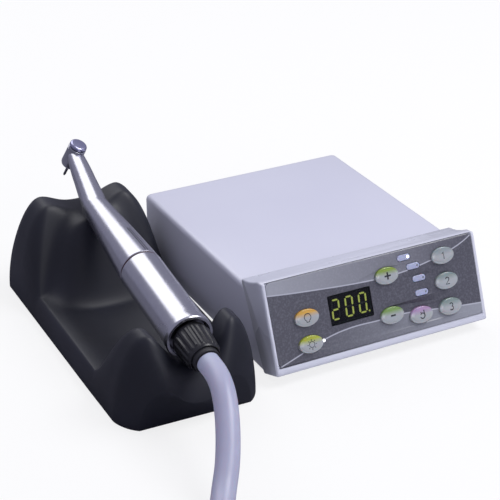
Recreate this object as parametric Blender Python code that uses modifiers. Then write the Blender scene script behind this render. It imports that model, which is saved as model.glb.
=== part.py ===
"""Dental micromotor set: a control unit, a handpiece lying on its cradle, and the handpiece's hose.

Metres, +Z up. The unit's keypad faces -Y and the handpiece's head points to +Y. The origin is on
the table, under the middle of the unit, the cradle and the handpiece taken together.
"""
import math

import bmesh
import bpy
from mathutils import Vector

MM = 0.001
DEG = math.pi / 180
QUARTER = 90 * DEG
HALF_TURN = 180 * DEG

# Clearances
FIT = 0.3 * MM            # between a piece and the seat it rests in
RUNNING = 0.25 * MM       # round a shaft in its bearing
SNUG = 0.06 * MM          # round a shank in its chuck
OVERRUN = 2.0 * MM        # how far a cutter runs past the face that it opens
WELD = 0.005 * MM         # vertices nearer than this are one

# Control unit, measured from the bezel's lower back edge on the unit's centre line
BODY_WIDTH = 134.4 * MM
BEZEL_PROUD = 0.8 * MM            # on either side of the casing
BEZEL_WIDTH = BODY_WIDTH + 2 * BEZEL_PROUD
BEZEL_TILT = 22.0 * DEG
BEZEL_FACE = 53.0 * MM            # height of the front face along its slope
BEZEL_FOOT_Y = -14.9 * MM         # lower front edge
BEZEL_FOOT_Z = 6.8 * MM
BEZEL_HEEL_Z = 1.0 * MM           # lower back edge
BEZEL_CREST_Y = 27.5 * MM         # upper back edge
BEZEL_CREST_Z = 46.6 * MM
BEZEL_BAND_SAG = 1.6 * MM         # hollow of the band between lid and front face
BEZEL_ROUND = 2.2 * MM
BEZEL_CAVITY_MARGIN = 7.0 * MM
BEZEL_SLOT_MARGIN = 2.8 * MM
BODY_BACK_Y = 157.4 * MM
LID_Z = 43.2 * MM
BODY_BOTTOM_Z = 2.2 * MM
WALL = 2.4 * MM
BODY_ROUND = 3.2 * MM
FOOT_RADIUS = 6.0 * MM
FOOT_INSET = 14.0 * MM
BASE_THICKNESS = 2.4 * MM
BASE_FRONT_GAP = 3.0 * MM
POST_RADIUS = 4.0 * MM
POST_HOLE_RADIUS = 1.7 * MM
POST_INSET_X = 9.0 * MM
POST_FRONT_Y = 40.0 * MM
POST_CLEARANCE = 2.0 * MM         # from a back post to the cup of the mains inlet
SCREW_RADIUS = 1.4 * MM
SCREW_LENGTH = 14.0 * MM
SCREW_HEAD_RADIUS = 2.6 * MM
SCREW_HEAD_HEIGHT = 1.5 * MM
SCREW_RECESS = 1.9 * MM

# Keypad, in the plane of the front face: X right, Y up the slope
PANEL_SIDE = 2.35 * MM
PANEL_WIDTH = BEZEL_WIDTH - 2 * PANEL_SIDE
PANEL_HEIGHT = 46.5 * MM
PANEL_ROUND = 3.0 * MM
PANEL_THICKNESS = 1.0 * MM
PANEL_LOWER_MARGIN = 4.2 * MM
WINDOW_WIDTH = 26.4 * MM
WINDOW_HEIGHT = 16.0 * MM
WINDOW_X = -17.2 * MM
WINDOW_Y = 0.0
WINDOW_THICKNESS = 1.2 * MM
BUTTON_WIDTH = 14.8 * MM
BUTTON_HEIGHT = 9.5 * MM
BUTTON_RISE = 1.9 * MM
BUTTON_TRAVEL = 0.4 * MM
BUTTON_DEPTH = 3.4 * MM
BUTTON_FLANGE = 1.0 * MM
BUTTON_FLANGE_THICKNESS = 0.8 * MM
BUTTON_DOME = 0.9 * MM
LAMP_WIDTH = 8.4 * MM
LAMP_HEIGHT = 3.4 * MM
LAMP_RISE = 0.25 * MM
LAMP_DEPTH = 2.2 * MM
BUTTON_PLACES = {
    "button_lamp": (-45.1 * MM, 0.1 * MM),
    "button_brightness": (-45.2 * MM, -14.5 * MM),
    "button_plus": (7.4 * MM, 11.4 * MM),
    "button_minus": (6.9 * MM, -10.8 * MM),
    "button_direction": (25.3 * MM, -14.8 * MM),
    "button_memory_1": (44.7 * MM, 14.7 * MM),
    "button_memory_2": (44.7 * MM, 0.3 * MM),
    "button_memory_3": (44.7 * MM, -14.5 * MM),
}
LAMP_PLACES = {
    "indicator_1": (20.2 * MM, 18.8 * MM),
    "indicator_2": (25.3 * MM, 12.9 * MM),
    "indicator_3": (27.9 * MM, 5.5 * MM),
    "indicator_4": (28.2 * MM, -2.7 * MM),
}

# Electronics
DISPLAY_DEPTH = 6.0 * MM
DISPLAY_MARGIN = 0.9 * MM
BOARD_THICKNESS = 1.6 * MM
MAIN_BOARD_DEPTH = 86.0 * MM
MAIN_BOARD_Y = 84.0 * MM
STANDOFF_RADIUS = 2.8 * MM
STANDOFF_HEIGHT = 5.0 * MM
STANDOFF_INSET = 5.0 * MM
CORE_WIDTH = 48.0 * MM
CORE_CLEARANCE = 6.8 * MM         # from the transformer to the casing's side
BOARD_CLEARANCE = 15.8 * MM       # from the main board to the casing's other side
CORE_BOARD_GAP = 5.0 * MM
MAIN_BOARD_WIDTH = (BODY_WIDTH - 2 * WALL - CORE_CLEARANCE - CORE_WIDTH - CORE_BOARD_GAP
                    - BOARD_CLEARANCE)
MAIN_BOARD_X = BODY_WIDTH / 2 - WALL - BOARD_CLEARANCE - MAIN_BOARD_WIDTH / 2
CORE_HEIGHT = 32.0 * MM
CORE_DEPTH = 18.0 * MM
CORE_X = -(BODY_WIDTH / 2 - WALL - CORE_CLEARANCE - CORE_WIDTH / 2)
CORE_Y = 96.0 * MM
CORE_LEG = 16.0 * MM
CORE_YOKE = 7.0 * MM
COIL_BULGE = 8.0 * MM

# Rear panel
REAR_SIDE = 11.2 * MM
REAR_WIDTH = BODY_WIDTH - 2 * REAR_SIDE
REAR_HEIGHT = 30.0 * MM
REAR_CENTRE_Z = 23.4 * MM
REAR_THICKNESS = 2.0 * MM
INLET_WIDTH = 27.0 * MM
INLET_HEIGHT = 20.0 * MM
INLET_DEPTH = 19.0 * MM
INLET_WALL = 1.8 * MM
INLET_FLANGE = 3.0 * MM
INLET_FLANGE_THICKNESS = 2.4 * MM
PIN_WIDTH = 2.0 * MM
PIN_HEIGHT = 4.0 * MM
PIN_LENGTH = 11.0 * MM
PIN_SPACING = 14.0 * MM
PIN_RISE = 3.0 * MM
SWITCH_WIDTH = 14.0 * MM
SWITCH_HEIGHT = 21.0 * MM
SWITCH_DEPTH = 14.0 * MM
SWITCH_FLANGE = 1.4 * MM
SWITCH_FLANGE_THICKNESS = 1.6 * MM
SWITCH_WALL = 1.5 * MM
ROCKER_HALF = 7.7 * MM            # half its length
ROCKER_RISE = 5.6 * MM            # its ends above its pivot
ROCKER_DISH = 1.6 * MM
ROCKER_SINK = 4.0 * MM            # its pivot below the panel's face
ROCKER_THROW = 8.0 * DEG          # either way from the middle
SOCKET_RADIUS = 8.5 * MM
SOCKET_BORE = 6.6 * MM
SOCKET_DEPTH = 14.0 * MM
SOCKET_FLOOR = 2.5 * MM
SOCKET_FLANGE = 1.6 * MM
SOCKET_RISE = 2.2 * MM
JACK_RADIUS = 5.6 * MM
JACK_BORE = 4.0 * MM

# Cradle, in its own frame: Y from the front end to the back end, on its centre line
CRADLE_LENGTH = 190.5 * MM
CRADLE_FRONT_HALF = 40.4 * MM     # half width at the foot
CRADLE_BACK_HALF = 43.8 * MM
CRADLE_TURN = 1.8 * DEG           # clockwise, seen from above
CRADLE_GAP = 1.2 * MM             # from its back corner to the casing
CRADLE_FRONT_Y = -27.5 * MM       # in the unit's frame
CRADLE_CORNER = 9.0 * MM
CRADLE_BOW_RADIUS = 60.0 * MM      # its front end is bowed in plan
CRADLE_BOW_FADE = 70.0 * MM
CRADLE_BACK_CORNER = 5.0 * MM
HUMP_HALF = 23.5 * MM             # from the centre line to a hump's crest
FRONT_HUMP_Z = 50.5 * MM
BACK_HUMP_Z = 58.5 * MM
RIM_HALF = 38.0 * MM
RIM_Z = 13.5 * MM
VALLEY_Z = 8.0 * MM
FRONT_WALL_INNER = 52.0 * MM      # where the front wall's inner slope meets the valley
FRONT_WALL_TOP = 20.0 * MM
BACK_WALL_INNER = 50.0 * MM       # the same two, from the back end
BACK_WALL_TOP = 24.0 * MM
BACK_SADDLE_INNER = 68.0 * MM     # the saddle rises earlier than the humps beside it
BACK_SADDLE_TOP = 39.0 * MM
SADDLE_POWER = 1.45
END_ROUND = 12.0 * MM
END_SQUARE_SHARE = 0.45           # share of the height that the front end face stands square
BACK_END_ROUND = 13.0 * MM
BACK_SQUARE_SHARE = 0.6
FLANK_POWER = 1.8

# Handpiece, along its own axis from the sleeve's rear face towards the head. It lies over the middle
# of the cradle
HANDPIECE_Y = -14.0 * MM
HANDPIECE_Z = 44.9 * MM
HANDPIECE_TURN = 1.9 * DEG
HANDPIECE_TILT = 6.5 * DEG
SLEEVE_LENGTH = 64.5 * MM
SLEEVE_RADIUS = 12.3 * MM
SLEEVE_WALL = 1.1 * MM
FLARE_RADIUS = 13.1 * MM
FLARE_LENGTH = 9.0 * MM
FLARE_LIP = 2.0 * MM
SLEEVE_NOSE_WALL = 3.0 * MM
NOSE_RADIUS = 5.0 * MM
NOSE_LENGTH = 23.0 * MM
NOSE_BORE = 2.6 * MM
NOSE_FLANGE = 3.0 * MM
STATOR_BORE = 6.6 * MM
STATOR_START = 12.0 * MM
ROTOR_RADIUS = 6.0 * MM
SHAFT_RADIUS = 1.9 * MM
BEARING_WIDTH = 4.0 * MM
BEARING_GAP = 1.5 * MM
NUT_LENGTH = 19.0 * MM
NUT_RADIUS = 10.4 * MM
NUT_TIP_RADIUS = 9.0 * MM
NUT_BORE = 7.6 * MM
NUT_RIBS = 18
NUT_RIB_DEPTH = 0.55 * MM
NUT_THREAD_LENGTH = 5.0 * MM
COLLAR_RADIUS = 7.2 * MM
COLLAR_LENGTH = 24.0 * MM
COLLAR_PROUD = 2.6 * MM
COLLAR_BORE = 4.2 * MM
RING_LENGTH = 1.0 * MM
RING_RADIUS = 12.0 * MM

# Contra-angle
SHEATH_LENGTH = 69.5 * MM         # from the colour ring to the bend
SHEATH_RADIUS = 12.1 * MM
SHEATH_POWER = 1.15
BEND_RADIUS = 7.6 * MM
BEND_ANGLE = 13.6 * DEG
NECK_LENGTH = 46.0 * MM
NECK_RADIUS = 6.3 * MM
NECK_TIP_RADIUS = 4.6 * MM
NECK_POWER = 1.5
HEAD_ROLL = 19.2 * DEG
HEAD_RADIUS = 5.35 * MM
HEAD_BELOW = 9.2 * MM
HEAD_ABOVE = 5.4 * MM
HEAD_CAVITY = 4.5 * MM
HEAD_FLOOR = 1.0 * MM
HEAD_ROUND = 1.6 * MM
CAP_GAP = 0.5 * MM
CAP_HEIGHT = 2.1 * MM
CAP_RADIUS = 5.2 * MM
CAP_STEM_RADIUS = 2.4 * MM
CAP_STEM_LENGTH = 0.3 * MM
SPRING_RADIUS = 4.1 * MM
SPRING_WIDTH = 1.0 * MM
SPRING_HEIGHT = 0.75 * MM
NECK_BORE = 3.0 * MM
BEND_BORE = 5.3 * MM
BEND_BORE_REACH = 9.0 * MM
COUPLING_BORE = 5.3 * MM
DRIVE_BORE = 4.6 * MM
DRIVE_BORE_REACH = 5.4 * MM        # past the bend

# Gears: both pairs share a cone apex, the first at the bend and the second in the head
CUP_TEETH = 20
CUP_PINION_TEETH = 8
CUP_CONE_DISTANCE = 7.2 * MM
CUP_WALL = 0.6 * MM
CROWN_TEETH = 16
HEAD_PINION_TEETH = 8
HEAD_CONE_DISTANCE = 3.2 * MM
TOOTH_HEIGHT_SHARE = 0.042        # of the cone distance, above and below the pitch cone
CUP_DEPTH_SHARE = 0.42            # shares of the first pair's cone distance, down to the stem
CUP_RIM_SHARE = 1.06
CUP_CUT_SHARES = (1.25, 0.55)
PINION_INNER_SHARE = 0.72
STEM_START_SHARE = 0.75
CROWN_INNER_SHARE = 0.86          # shares of the second pair's cone distance
CROWN_BACK_SHARE = 0.9
HEAD_PINION_INNER_SHARE = 0.84
MESH_GAP = 0.09 * MM
DRIVE_SHAFT_RADIUS = 1.6 * MM
NECK_SHAFT_RADIUS = 0.8 * MM
SPINDLE_RADIUS = 1.15 * MM
BUR_RADIUS = 0.8 * MM
BUR_REACH = 16.8 * MM             # from the head's middle to the tip
BUR_INSIDE = 3.0 * MM
HEAD_BEARING_HEIGHT = 1.2 * MM

# Hose
HOSE_RADIUS = 6.0 * MM
FREE_STEP = 9.6 * MM              # spacing of its points
TAIL_STEP = 11.5 * MM
TABLE_GAP = 0.1 * MM
COIL_OUTER_RADIUS = 60.0 * MM
COIL_PITCH = 13.0 * MM
COIL_LAYER = 12.7 * MM
COIL_TURNS_PER_LAYER = 2.25
COIL_POINTS_PER_TURN = 16
COIL_CLIMB_TURNS = 0.5
COIL_START_ANGLE = 143.13 * DEG
COIL_X = -21.8 * MM               # from the middle of the cradle's front end
COIL_Y = -208.4 * MM
PLUG_RADIUS = 9.0 * MM
PLUG_GRIP_LENGTH = 30.0 * MM
PLUG_TIP_RADIUS = 6.2 * MM
PLUG_TIP_LENGTH = 11.0 * MM
PLUG_NECK_RADIUS = 7.4 * MM

# The hose's free stretch, from the nut to the coil, with X from the middle of the cradle's front end,
# and the tail that lies on the coil and carries the plug, from the coil's centre
HOSE_ROUTE = [
    (-0.75, -36.1, 42.5), (-1.10, -46.5, 41.3), (-3.00, -57.0, 38.7), (-6.40, -67.5, 33.5),
    (-11.00, -78.0, 26.6), (-16.80, -88.5, 19.0), (-24.00, -99.0, 12.4), (-33.85, -114.8, 7.7),
    (-43.00, -131.1, 6.3), (-52.20, -147.3, 6.1),
]
TAIL_ROUTE = [
    (57.6, -17.6, 20.6), (59.6, 3.1, 26.2), (52.6, 22.3, 30.8), (38.6, 37.0, 31.8), (19.5, 43.0, 31.8),
    (1.0, 39.4, 32.2), (-11.8, 30.2, 33.6), (-20.0, 19.4, 34.3),
]

# Pieces that lie loose in front of the set, and don't count when its middle is found
CORD_PIECES = ("hose", "hose_coil", "hose_plug")

PARTS = None
CUTTERS = None
MATERIALS = {}


def clear_scene():
    for item in list(bpy.data.objects):
        bpy.data.objects.remove(item, do_unlink=True)


def make_collections():
    global PARTS, CUTTERS
    PARTS = bpy.data.collections.new("dental_micromotor")
    CUTTERS = bpy.data.collections.new("cutters")
    for collection in (PARTS, CUTTERS):
        bpy.context.scene.collection.children.link(collection)


def material(name, colour, metallic=0.0, roughness=0.5):
    if name not in MATERIALS:
        made = bpy.data.materials.new(name)
        made.use_nodes = True
        shader = made.node_tree.nodes["Principled BSDF"]
        shader.inputs["Base Color"].default_value = (*colour, 1.0)
        shader.inputs["Metallic"].default_value = metallic
        shader.inputs["Roughness"].default_value = roughness
        made.diffuse_color = (*colour, 1.0)
        MATERIALS[name] = made
    return MATERIALS[name]


def white_paint():
    return material("white_paint", (0.66, 0.66, 0.76), roughness=0.3)


def dark_panel():
    return material("dark_panel", (0.09, 0.09, 0.12), roughness=0.25)


def cradle_black():
    return material("cradle_black", (0.016, 0.018, 0.026), roughness=0.55)


def steel():
    return material("satin_steel", (0.5, 0.5, 0.52), metallic=1.0, roughness=0.3)


def black_plastic():
    return material("black_plastic", (0.012, 0.012, 0.014), roughness=0.4)


def board_green():
    return material("board_green", (0.01, 0.13, 0.05), roughness=0.5)


def copper():
    return material("copper", (0.6, 0.25, 0.1), metallic=1.0, roughness=0.4)


def rubber():
    return material("rubber", (0.02, 0.02, 0.022), roughness=0.8)


def hose_grey():
    return material("hose_grey", (0.36, 0.37, 0.52), roughness=0.35)


def frame(name, parent=None, location=(0, 0, 0), rotation=(0, 0, 0)):
    empty = bpy.data.objects.new(name, None)
    PARTS.objects.link(empty)
    empty.parent = parent
    empty.location = location
    empty.rotation_euler = rotation
    return empty


def place(item, finish, parent, location=(0, 0, 0), rotation=(0, 0, 0)):
    """Link an object, give it its finish and seat it in its parent's frame."""
    home = CUTTERS if finish is None else PARTS
    home.objects.link(item)
    item.parent = parent
    item.location = location
    item.rotation_euler = rotation
    if finish is None:
        item.hide_render = True
        item.display_type = "WIRE"
    else:
        item.data.materials.clear()
        item.data.materials.append(finish)
    return item


def mesh_object(name, shape, finish, parent, location=(0, 0, 0), rotation=(0, 0, 0), smooth=None):
    data = bpy.data.meshes.new(name)
    shape.to_mesh(data)
    shape.free()
    if smooth is not None:
        data.shade_smooth()
        data.set_sharp_from_angle(angle=smooth)
    return place(bpy.data.objects.new(name, data), finish, parent, location, rotation)


def block(name, size, finish, parent, location=(0, 0, 0), rotation=(0, 0, 0), edge=0.0):
    """A box, centred, with its edges rounded if asked."""
    shape = bmesh.new()
    bmesh.ops.create_cube(shape, size=1)
    bmesh.ops.scale(shape, vec=size, verts=shape.verts)
    item = mesh_object(name, shape, finish, parent, location, rotation)
    if edge:
        round_edges(item, edge)
    return item


def round_edges(item, width, segments=2):
    bevel = item.modifiers.new("round", "BEVEL")
    bevel.width = width
    bevel.segments = segments
    bevel.limit_method = "ANGLE"
    bevel.angle_limit = 40 * DEG
    return bevel


def rod(name, radius, low, high, finish, parent, location=(0, 0, 0), rotation=(0, 0, 0), sides=24):
    """A plain cylinder along its own Z, from low to high."""
    shape = bmesh.new()
    bmesh.ops.create_cone(shape, cap_ends=True, segments=sides, radius1=radius, radius2=radius,
                          depth=high - low)
    bmesh.ops.translate(shape, vec=(0, 0, (high + low) / 2), verts=shape.verts)
    return mesh_object(name, shape, finish, parent, location, rotation, smooth=35 * DEG)


def turned(name, outline, finish, parent, location=(0, 0, 0), rotation=(0, 0, 0), closed=False, sides=24):
    """Turn an outline of (radius, height) round Z; it runs down the outer side first."""
    data = bpy.data.meshes.new(name)
    points = [(radius, 0, height) for radius, height in outline]
    edges = [(i, i + 1) for i in range(len(points) - 1)]
    if closed:
        edges.append((len(points) - 1, 0))
    data.from_pydata(points, edges, [])
    item = place(bpy.data.objects.new(name, data), finish, parent, location, rotation)
    screw = item.modifiers.new("turn", "SCREW")
    screw.steps = sides
    screw.render_steps = sides
    screw.use_merge_vertices = True
    screw.merge_threshold = WELD
    screw.use_smooth_shade = True
    return item


def ring(name, outer, inner, low, high, finish, parent, location=(0, 0, 0), rotation=(0, 0, 0), sides=24):
    outline = [(outer, high), (outer, low), (inner, low), (inner, high)]
    return turned(name, outline, finish, parent, location, rotation, closed=True, sides=sides)


def rounded_box_outline(width, height, radius, steps=4, centre=(0, 0)):
    points = []
    for quarter in range(4):
        side_x = 1 if quarter in (0, 3) else -1
        side_y = 1 if quarter in (0, 1) else -1
        for step in range(steps + 1):
            angle = QUARTER * (quarter + step / steps)
            x = centre[0] + side_x * (width / 2 - radius) + radius * math.cos(angle)
            y = centre[1] + side_y * (height / 2 - radius) + radius * math.sin(angle)
            points.append((x, y))
    return points


def ellipse_outline(width, height, count, centre=(0, 0)):
    points = []
    for i in range(count):
        angle = 2 * math.pi * i / count
        x = centre[0] + width / 2 * math.cos(angle)
        y = centre[1] + height / 2 * math.sin(angle)
        points.append((x, y))
    return points


def flat(name, outlines, thickness, finish, parent, location=(0, 0, 0), rotation=(0, 0, 0)):
    """A flat sheet: the first outline is its edge and the others are its holes. Z is its thickness."""
    curve = bpy.data.curves.new(name, "CURVE")
    curve.dimensions = "2D"
    curve.fill_mode = "BOTH"
    curve.extrude = thickness / 2
    for outline in outlines:
        spline = curve.splines.new("POLY")
        spline.points.add(len(outline) - 1)
        for point, (x, y) in zip(spline.points, outline):
            point.co = (x, y, 0, 1)
        spline.use_cyclic_u = True
    return place(bpy.data.objects.new(name, curve), finish, parent, location, rotation)


def tube(name, points, radii, finish, parent=None, resolution=3):
    """A round tube along a poly line, with a radius for each point."""
    curve = bpy.data.curves.new(name, "CURVE")
    curve.dimensions = "3D"
    curve.bevel_depth = 1
    curve.bevel_resolution = resolution
    curve.use_fill_caps = True
    spline = curve.splines.new("POLY")
    spline.points.add(len(points) - 1)
    for point, place_at, radius in zip(spline.points, points, radii):
        point.co = (*place_at, 1)
        point.radius = radius
    return place(bpy.data.objects.new(name, curve), finish, parent)


def as_mesh(item):
    """Turn a curve object into a welded mesh object in the same place."""
    bpy.context.view_layer.update()
    graph = bpy.context.evaluated_depsgraph_get()
    data = bpy.data.meshes.new_from_object(item.evaluated_get(graph))
    shape = bmesh.new()
    shape.from_mesh(data)
    bmesh.ops.remove_doubles(shape, verts=shape.verts, dist=WELD)
    shape.to_mesh(data)
    shape.free()
    name = item.name
    finish = item.data.materials[0] if item.data.materials else None
    parent, spot, turn = item.parent, item.location.copy(), item.rotation_euler.copy()
    bpy.data.objects.remove(item, do_unlink=True)
    return place(bpy.data.objects.new(name, data), finish, parent, spot, turn)


def boolean(item, cutter, operation="DIFFERENCE"):
    change = item.modifiers.new("join" if operation == "UNION" else "cut", "BOOLEAN")
    change.operation = operation
    change.object = cutter
    change.solver = "EXACT"
    return item


def loft(name, rings, finish, parent, location=(0, 0, 0), rotation=(0, 0, 0), smooth=40 * DEG):
    """Bridge closed rings of equal length, in order, and cap the two ends."""
    shape = bmesh.new()
    rows = [[shape.verts.new(point) for point in points] for points in rings]
    count = len(rows[0])
    for first, second in zip(rows, rows[1:]):
        for i in range(count):
            j = (i + 1) % count
            shape.faces.new((first[i], first[j], second[j], second[i]))
    shape.faces.new(rows[0][::-1])
    shape.faces.new(rows[-1])
    bmesh.ops.recalc_face_normals(shape, faces=shape.faces)
    return mesh_object(name, shape, finish, parent, location, rotation, smooth=smooth)


def smooth_step(value):
    value = min(1.0, max(0.0, value))
    return value * value * (3 - 2 * value)


def mix(first, second, share):
    return first + (second - first) * share


# Control unit

def bezel_slope():
    return Vector((0, math.sin(BEZEL_TILT), math.cos(BEZEL_TILT)))


def bezel_points():
    """Corners of the bezel's side outline, as (y, z): foot, brow, crest and heel."""
    slope = bezel_slope()
    foot = (BEZEL_FOOT_Y, BEZEL_FOOT_Z)
    brow = (BEZEL_FOOT_Y + slope.y * BEZEL_FACE, BEZEL_FOOT_Z + slope.z * BEZEL_FACE)
    crest = (BEZEL_CREST_Y, BEZEL_CREST_Z)
    heel = (0, BEZEL_HEEL_Z)
    return foot, brow, crest, heel


def bezel_outline():
    foot, brow, crest, heel = bezel_points()
    slope = bezel_slope()
    points = [heel, foot]
    points.append((brow[0] - slope.y * BEZEL_ROUND, brow[1] - slope.z * BEZEL_ROUND))
    steps = 4
    for step in range(1, steps + 1):
        share = step / (steps + 1)
        sag = BEZEL_BAND_SAG * math.sin(math.pi * share)
        points.append((mix(brow[0], crest[0], share), mix(brow[1], crest[1], share) - sag))
    points.append(crest)
    return points


def build_bezel(unit):
    """The front frame: a slanted slab with a seat for the keypad and a chamber behind it."""
    bezel = flat("front_bezel", [bezel_outline()], BEZEL_WIDTH, white_paint(), unit,
                 rotation=(QUARTER, 0, QUARTER))
    bezel = as_mesh(bezel)
    round_edges(bezel, BEZEL_ROUND / 2)
    panel = panel_frame(unit)
    seat = block("cut_keypad_seat", (PANEL_WIDTH + 2 * FIT, PANEL_HEIGHT + 2 * FIT, 2 * seat_depth()),
                 None, panel)
    boolean(bezel, seat)
    slot = block("cut_keypad_slot",
                 (PANEL_WIDTH - BEZEL_SLOT_MARGIN, PANEL_HEIGHT - BEZEL_SLOT_MARGIN, chamber_depth() * 2),
                 None, panel)
    boolean(bezel, slot)
    return panel


def seat_depth():
    return PANEL_THICKNESS + FIT


def chamber_depth():
    """From the front face to the back of the chamber, which opens through the slab."""
    return BEZEL_CREST_Y + BEZEL_CAVITY_MARGIN


def panel_frame(unit):
    slope = bezel_slope()
    reach = PANEL_LOWER_MARGIN + PANEL_HEIGHT / 2
    spot = (0, BEZEL_FOOT_Y + slope.y * reach, BEZEL_FOOT_Z + slope.z * reach)
    return frame("keypad_frame", unit, spot, (QUARTER - BEZEL_TILT, 0, 0))


def build_keypad(panel):
    """The printed sheet, its display window, the buttons and the small lamps."""
    holes = [rounded_box_outline(PANEL_WIDTH, PANEL_HEIGHT, PANEL_ROUND)]
    holes.append(rounded_box_outline(WINDOW_WIDTH + 2 * FIT, WINDOW_HEIGHT + 2 * FIT, BEZEL_ROUND / 4, 1,
                                     (WINDOW_X, WINDOW_Y)))
    for spot in BUTTON_PLACES.values():
        holes.append(ellipse_outline(BUTTON_WIDTH + 2 * FIT, BUTTON_HEIGHT + 2 * FIT, 16, spot))
    for spot in LAMP_PLACES.values():
        holes.append(rounded_box_outline(LAMP_WIDTH + 2 * FIT, LAMP_HEIGHT + 2 * FIT,
                                         LAMP_HEIGHT / 2, 3, spot))
    sheet_z = -PANEL_THICKNESS / 2
    flat("keypad_overlay", holes, PANEL_THICKNESS, dark_panel(), panel, (0, 0, sheet_z))
    glass = material("display_glass", (0.006, 0.006, 0.008), roughness=0.08)
    block("display_window", (WINDOW_WIDTH, WINDOW_HEIGHT, WINDOW_THICKNESS), glass, panel,
                   (WINDOW_X, WINDOW_Y, -WINDOW_THICKNESS / 2 + FIT / 2))
    for name, spot in BUTTON_PLACES.items():
        build_button(name, spot, panel)
    lens = material("lamp_lens", (0.5, 0.48, 0.62), roughness=0.25)
    for name, (x, y) in LAMP_PLACES.items():
        pill = [rounded_box_outline(LAMP_WIDTH, LAMP_HEIGHT, LAMP_HEIGHT / 2 - FIT / 2, 3)]
        flat(name, pill, LAMP_DEPTH + LAMP_RISE, lens, panel, (x, y, (LAMP_RISE - LAMP_DEPTH) / 2))


def build_button(name, spot, panel):
    """An oval domed cap with a flange that the sheet holds back."""
    top = material("button_grey", (0.3, 0.31, 0.3), roughness=0.35)
    shoulder_in_share, shoulder_drop_share, crown_in_share = 0.35, 0.3, 1.2
    levels = [
        (BUTTON_FLANGE, -BUTTON_DEPTH), (BUTTON_FLANGE, -BUTTON_DEPTH + BUTTON_FLANGE_THICKNESS),
        (0, -BUTTON_DEPTH + BUTTON_FLANGE_THICKNESS), (0, BUTTON_RISE - BUTTON_DOME),
        (-BUTTON_DOME * shoulder_in_share, BUTTON_RISE - BUTTON_DOME * shoulder_drop_share),
        (-BUTTON_DOME * crown_in_share, BUTTON_RISE),
    ]
    rings = []
    for grow, height in levels:
        outline = ellipse_outline(BUTTON_WIDTH + 2 * grow, BUTTON_HEIGHT + 2 * grow, 16)
        rings.append([(x, y, height) for x, y in outline])
    return loft(name, rings, top, panel, (*spot, 0))


def board_depth():
    """From the keypad's face to the front of the board behind it."""
    return BUTTON_DEPTH + BUTTON_TRAVEL + FIT


def build_display(panel):
    width = PANEL_WIDTH - BEZEL_SLOT_MARGIN - 2 * FIT
    height = PANEL_HEIGHT - BEZEL_SLOT_MARGIN - 2 * FIT
    hole = [rounded_box_outline(width, height, BEZEL_ROUND / 2, 1)]
    hole.append(rounded_box_outline(WINDOW_WIDTH - DISPLAY_MARGIN, WINDOW_HEIGHT - DISPLAY_MARGIN,
                                    BEZEL_ROUND / 4, 1, (WINDOW_X, WINDOW_Y)))
    board_z = -board_depth() - BOARD_THICKNESS / 2
    flat("display_board", hole, BOARD_THICKNESS, board_green(), panel, (0, 0, board_z))
    digits = material("display_black", (0.02, 0.02, 0.02), roughness=0.3)
    front = -WINDOW_THICKNESS - FIT / 2
    size = (WINDOW_WIDTH - DISPLAY_MARGIN - 2 * FIT, WINDOW_HEIGHT - DISPLAY_MARGIN - 2 * FIT, DISPLAY_DEPTH)
    block("digit_display", size, digits, panel, (WINDOW_X, WINDOW_Y, front - DISPLAY_DEPTH / 2 - FIT))


def post_places():
    x = BODY_WIDTH / 2 - POST_INSET_X
    back = BODY_BACK_Y - INLET_DEPTH - INLET_WALL - POST_CLEARANCE - POST_RADIUS
    return [(x, POST_FRONT_Y), (-x, POST_FRONT_Y), (x, back), (-x, back)]


def body_front(z):
    """Where the casing's slanted front edge lies at a height, behind the bezel."""
    foot, brow, crest, heel = bezel_points()
    share = (z - heel[1]) / (crest[1] - heel[1])
    return mix(heel[0], crest[0], share) + FIT


def build_housing(unit):
    """Lid, sides and back in one shell, open below and in front, with screw posts inside."""
    half = BODY_WIDTH / 2
    low, high = BODY_BOTTOM_Z, LID_Z
    shape = bmesh.new()
    corners = {}
    for side in (-1, 1):
        for label, y, z in (("fl", body_front(low), low), ("fh", body_front(high), high),
                            ("bl", BODY_BACK_Y, low), ("bh", BODY_BACK_Y, high)):
            corners[(side, label)] = shape.verts.new((side * half, y, z))
    left = [corners[(-1, k)] for k in ("fl", "fh", "bh", "bl")]
    right = [corners[(1, k)] for k in ("fl", "bl", "bh", "fh")]
    top = [corners[(-1, "fh")], corners[(1, "fh")], corners[(1, "bh")], corners[(-1, "bh")]]
    back = [corners[(1, "bl")], corners[(-1, "bl")], corners[(-1, "bh")], corners[(1, "bh")]]
    for face in (left, right, top, back):
        shape.faces.new(face)
    bmesh.ops.recalc_face_normals(shape, faces=shape.faces)
    housing = mesh_object("housing_shell", shape, white_paint(), unit)
    round_edges(housing, BODY_ROUND, 3)
    skin = housing.modifiers.new("wall", "SOLIDIFY")
    skin.thickness = WALL
    skin.offset = -1
    skin.use_even_offset = True
    window = block("cut_rear_window", (REAR_WIDTH, 2 * WALL + 2 * OVERRUN, REAR_HEIGHT), None, unit,
                   (0, BODY_BACK_Y, REAR_CENTRE_Z))
    boolean(housing, window)
    for number, (x, y) in enumerate(post_places(), 1):
        post = rod(f"join_post_{number}", POST_RADIUS, post_foot(), LID_Z - WALL / 2, None, unit,
                   (x, y, 0), sides=16)
        boolean(housing, post, "UNION")
        hole = rod(f"cut_post_{number}", POST_HOLE_RADIUS, post_foot() - OVERRUN,
                   post_foot() + SCREW_LENGTH, None, unit, (x, y, 0), sides=16)
        boolean(housing, hole)
    return housing


def base_top():
    return BODY_BOTTOM_Z + BASE_THICKNESS


def post_foot():
    return base_top() + FIT


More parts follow.
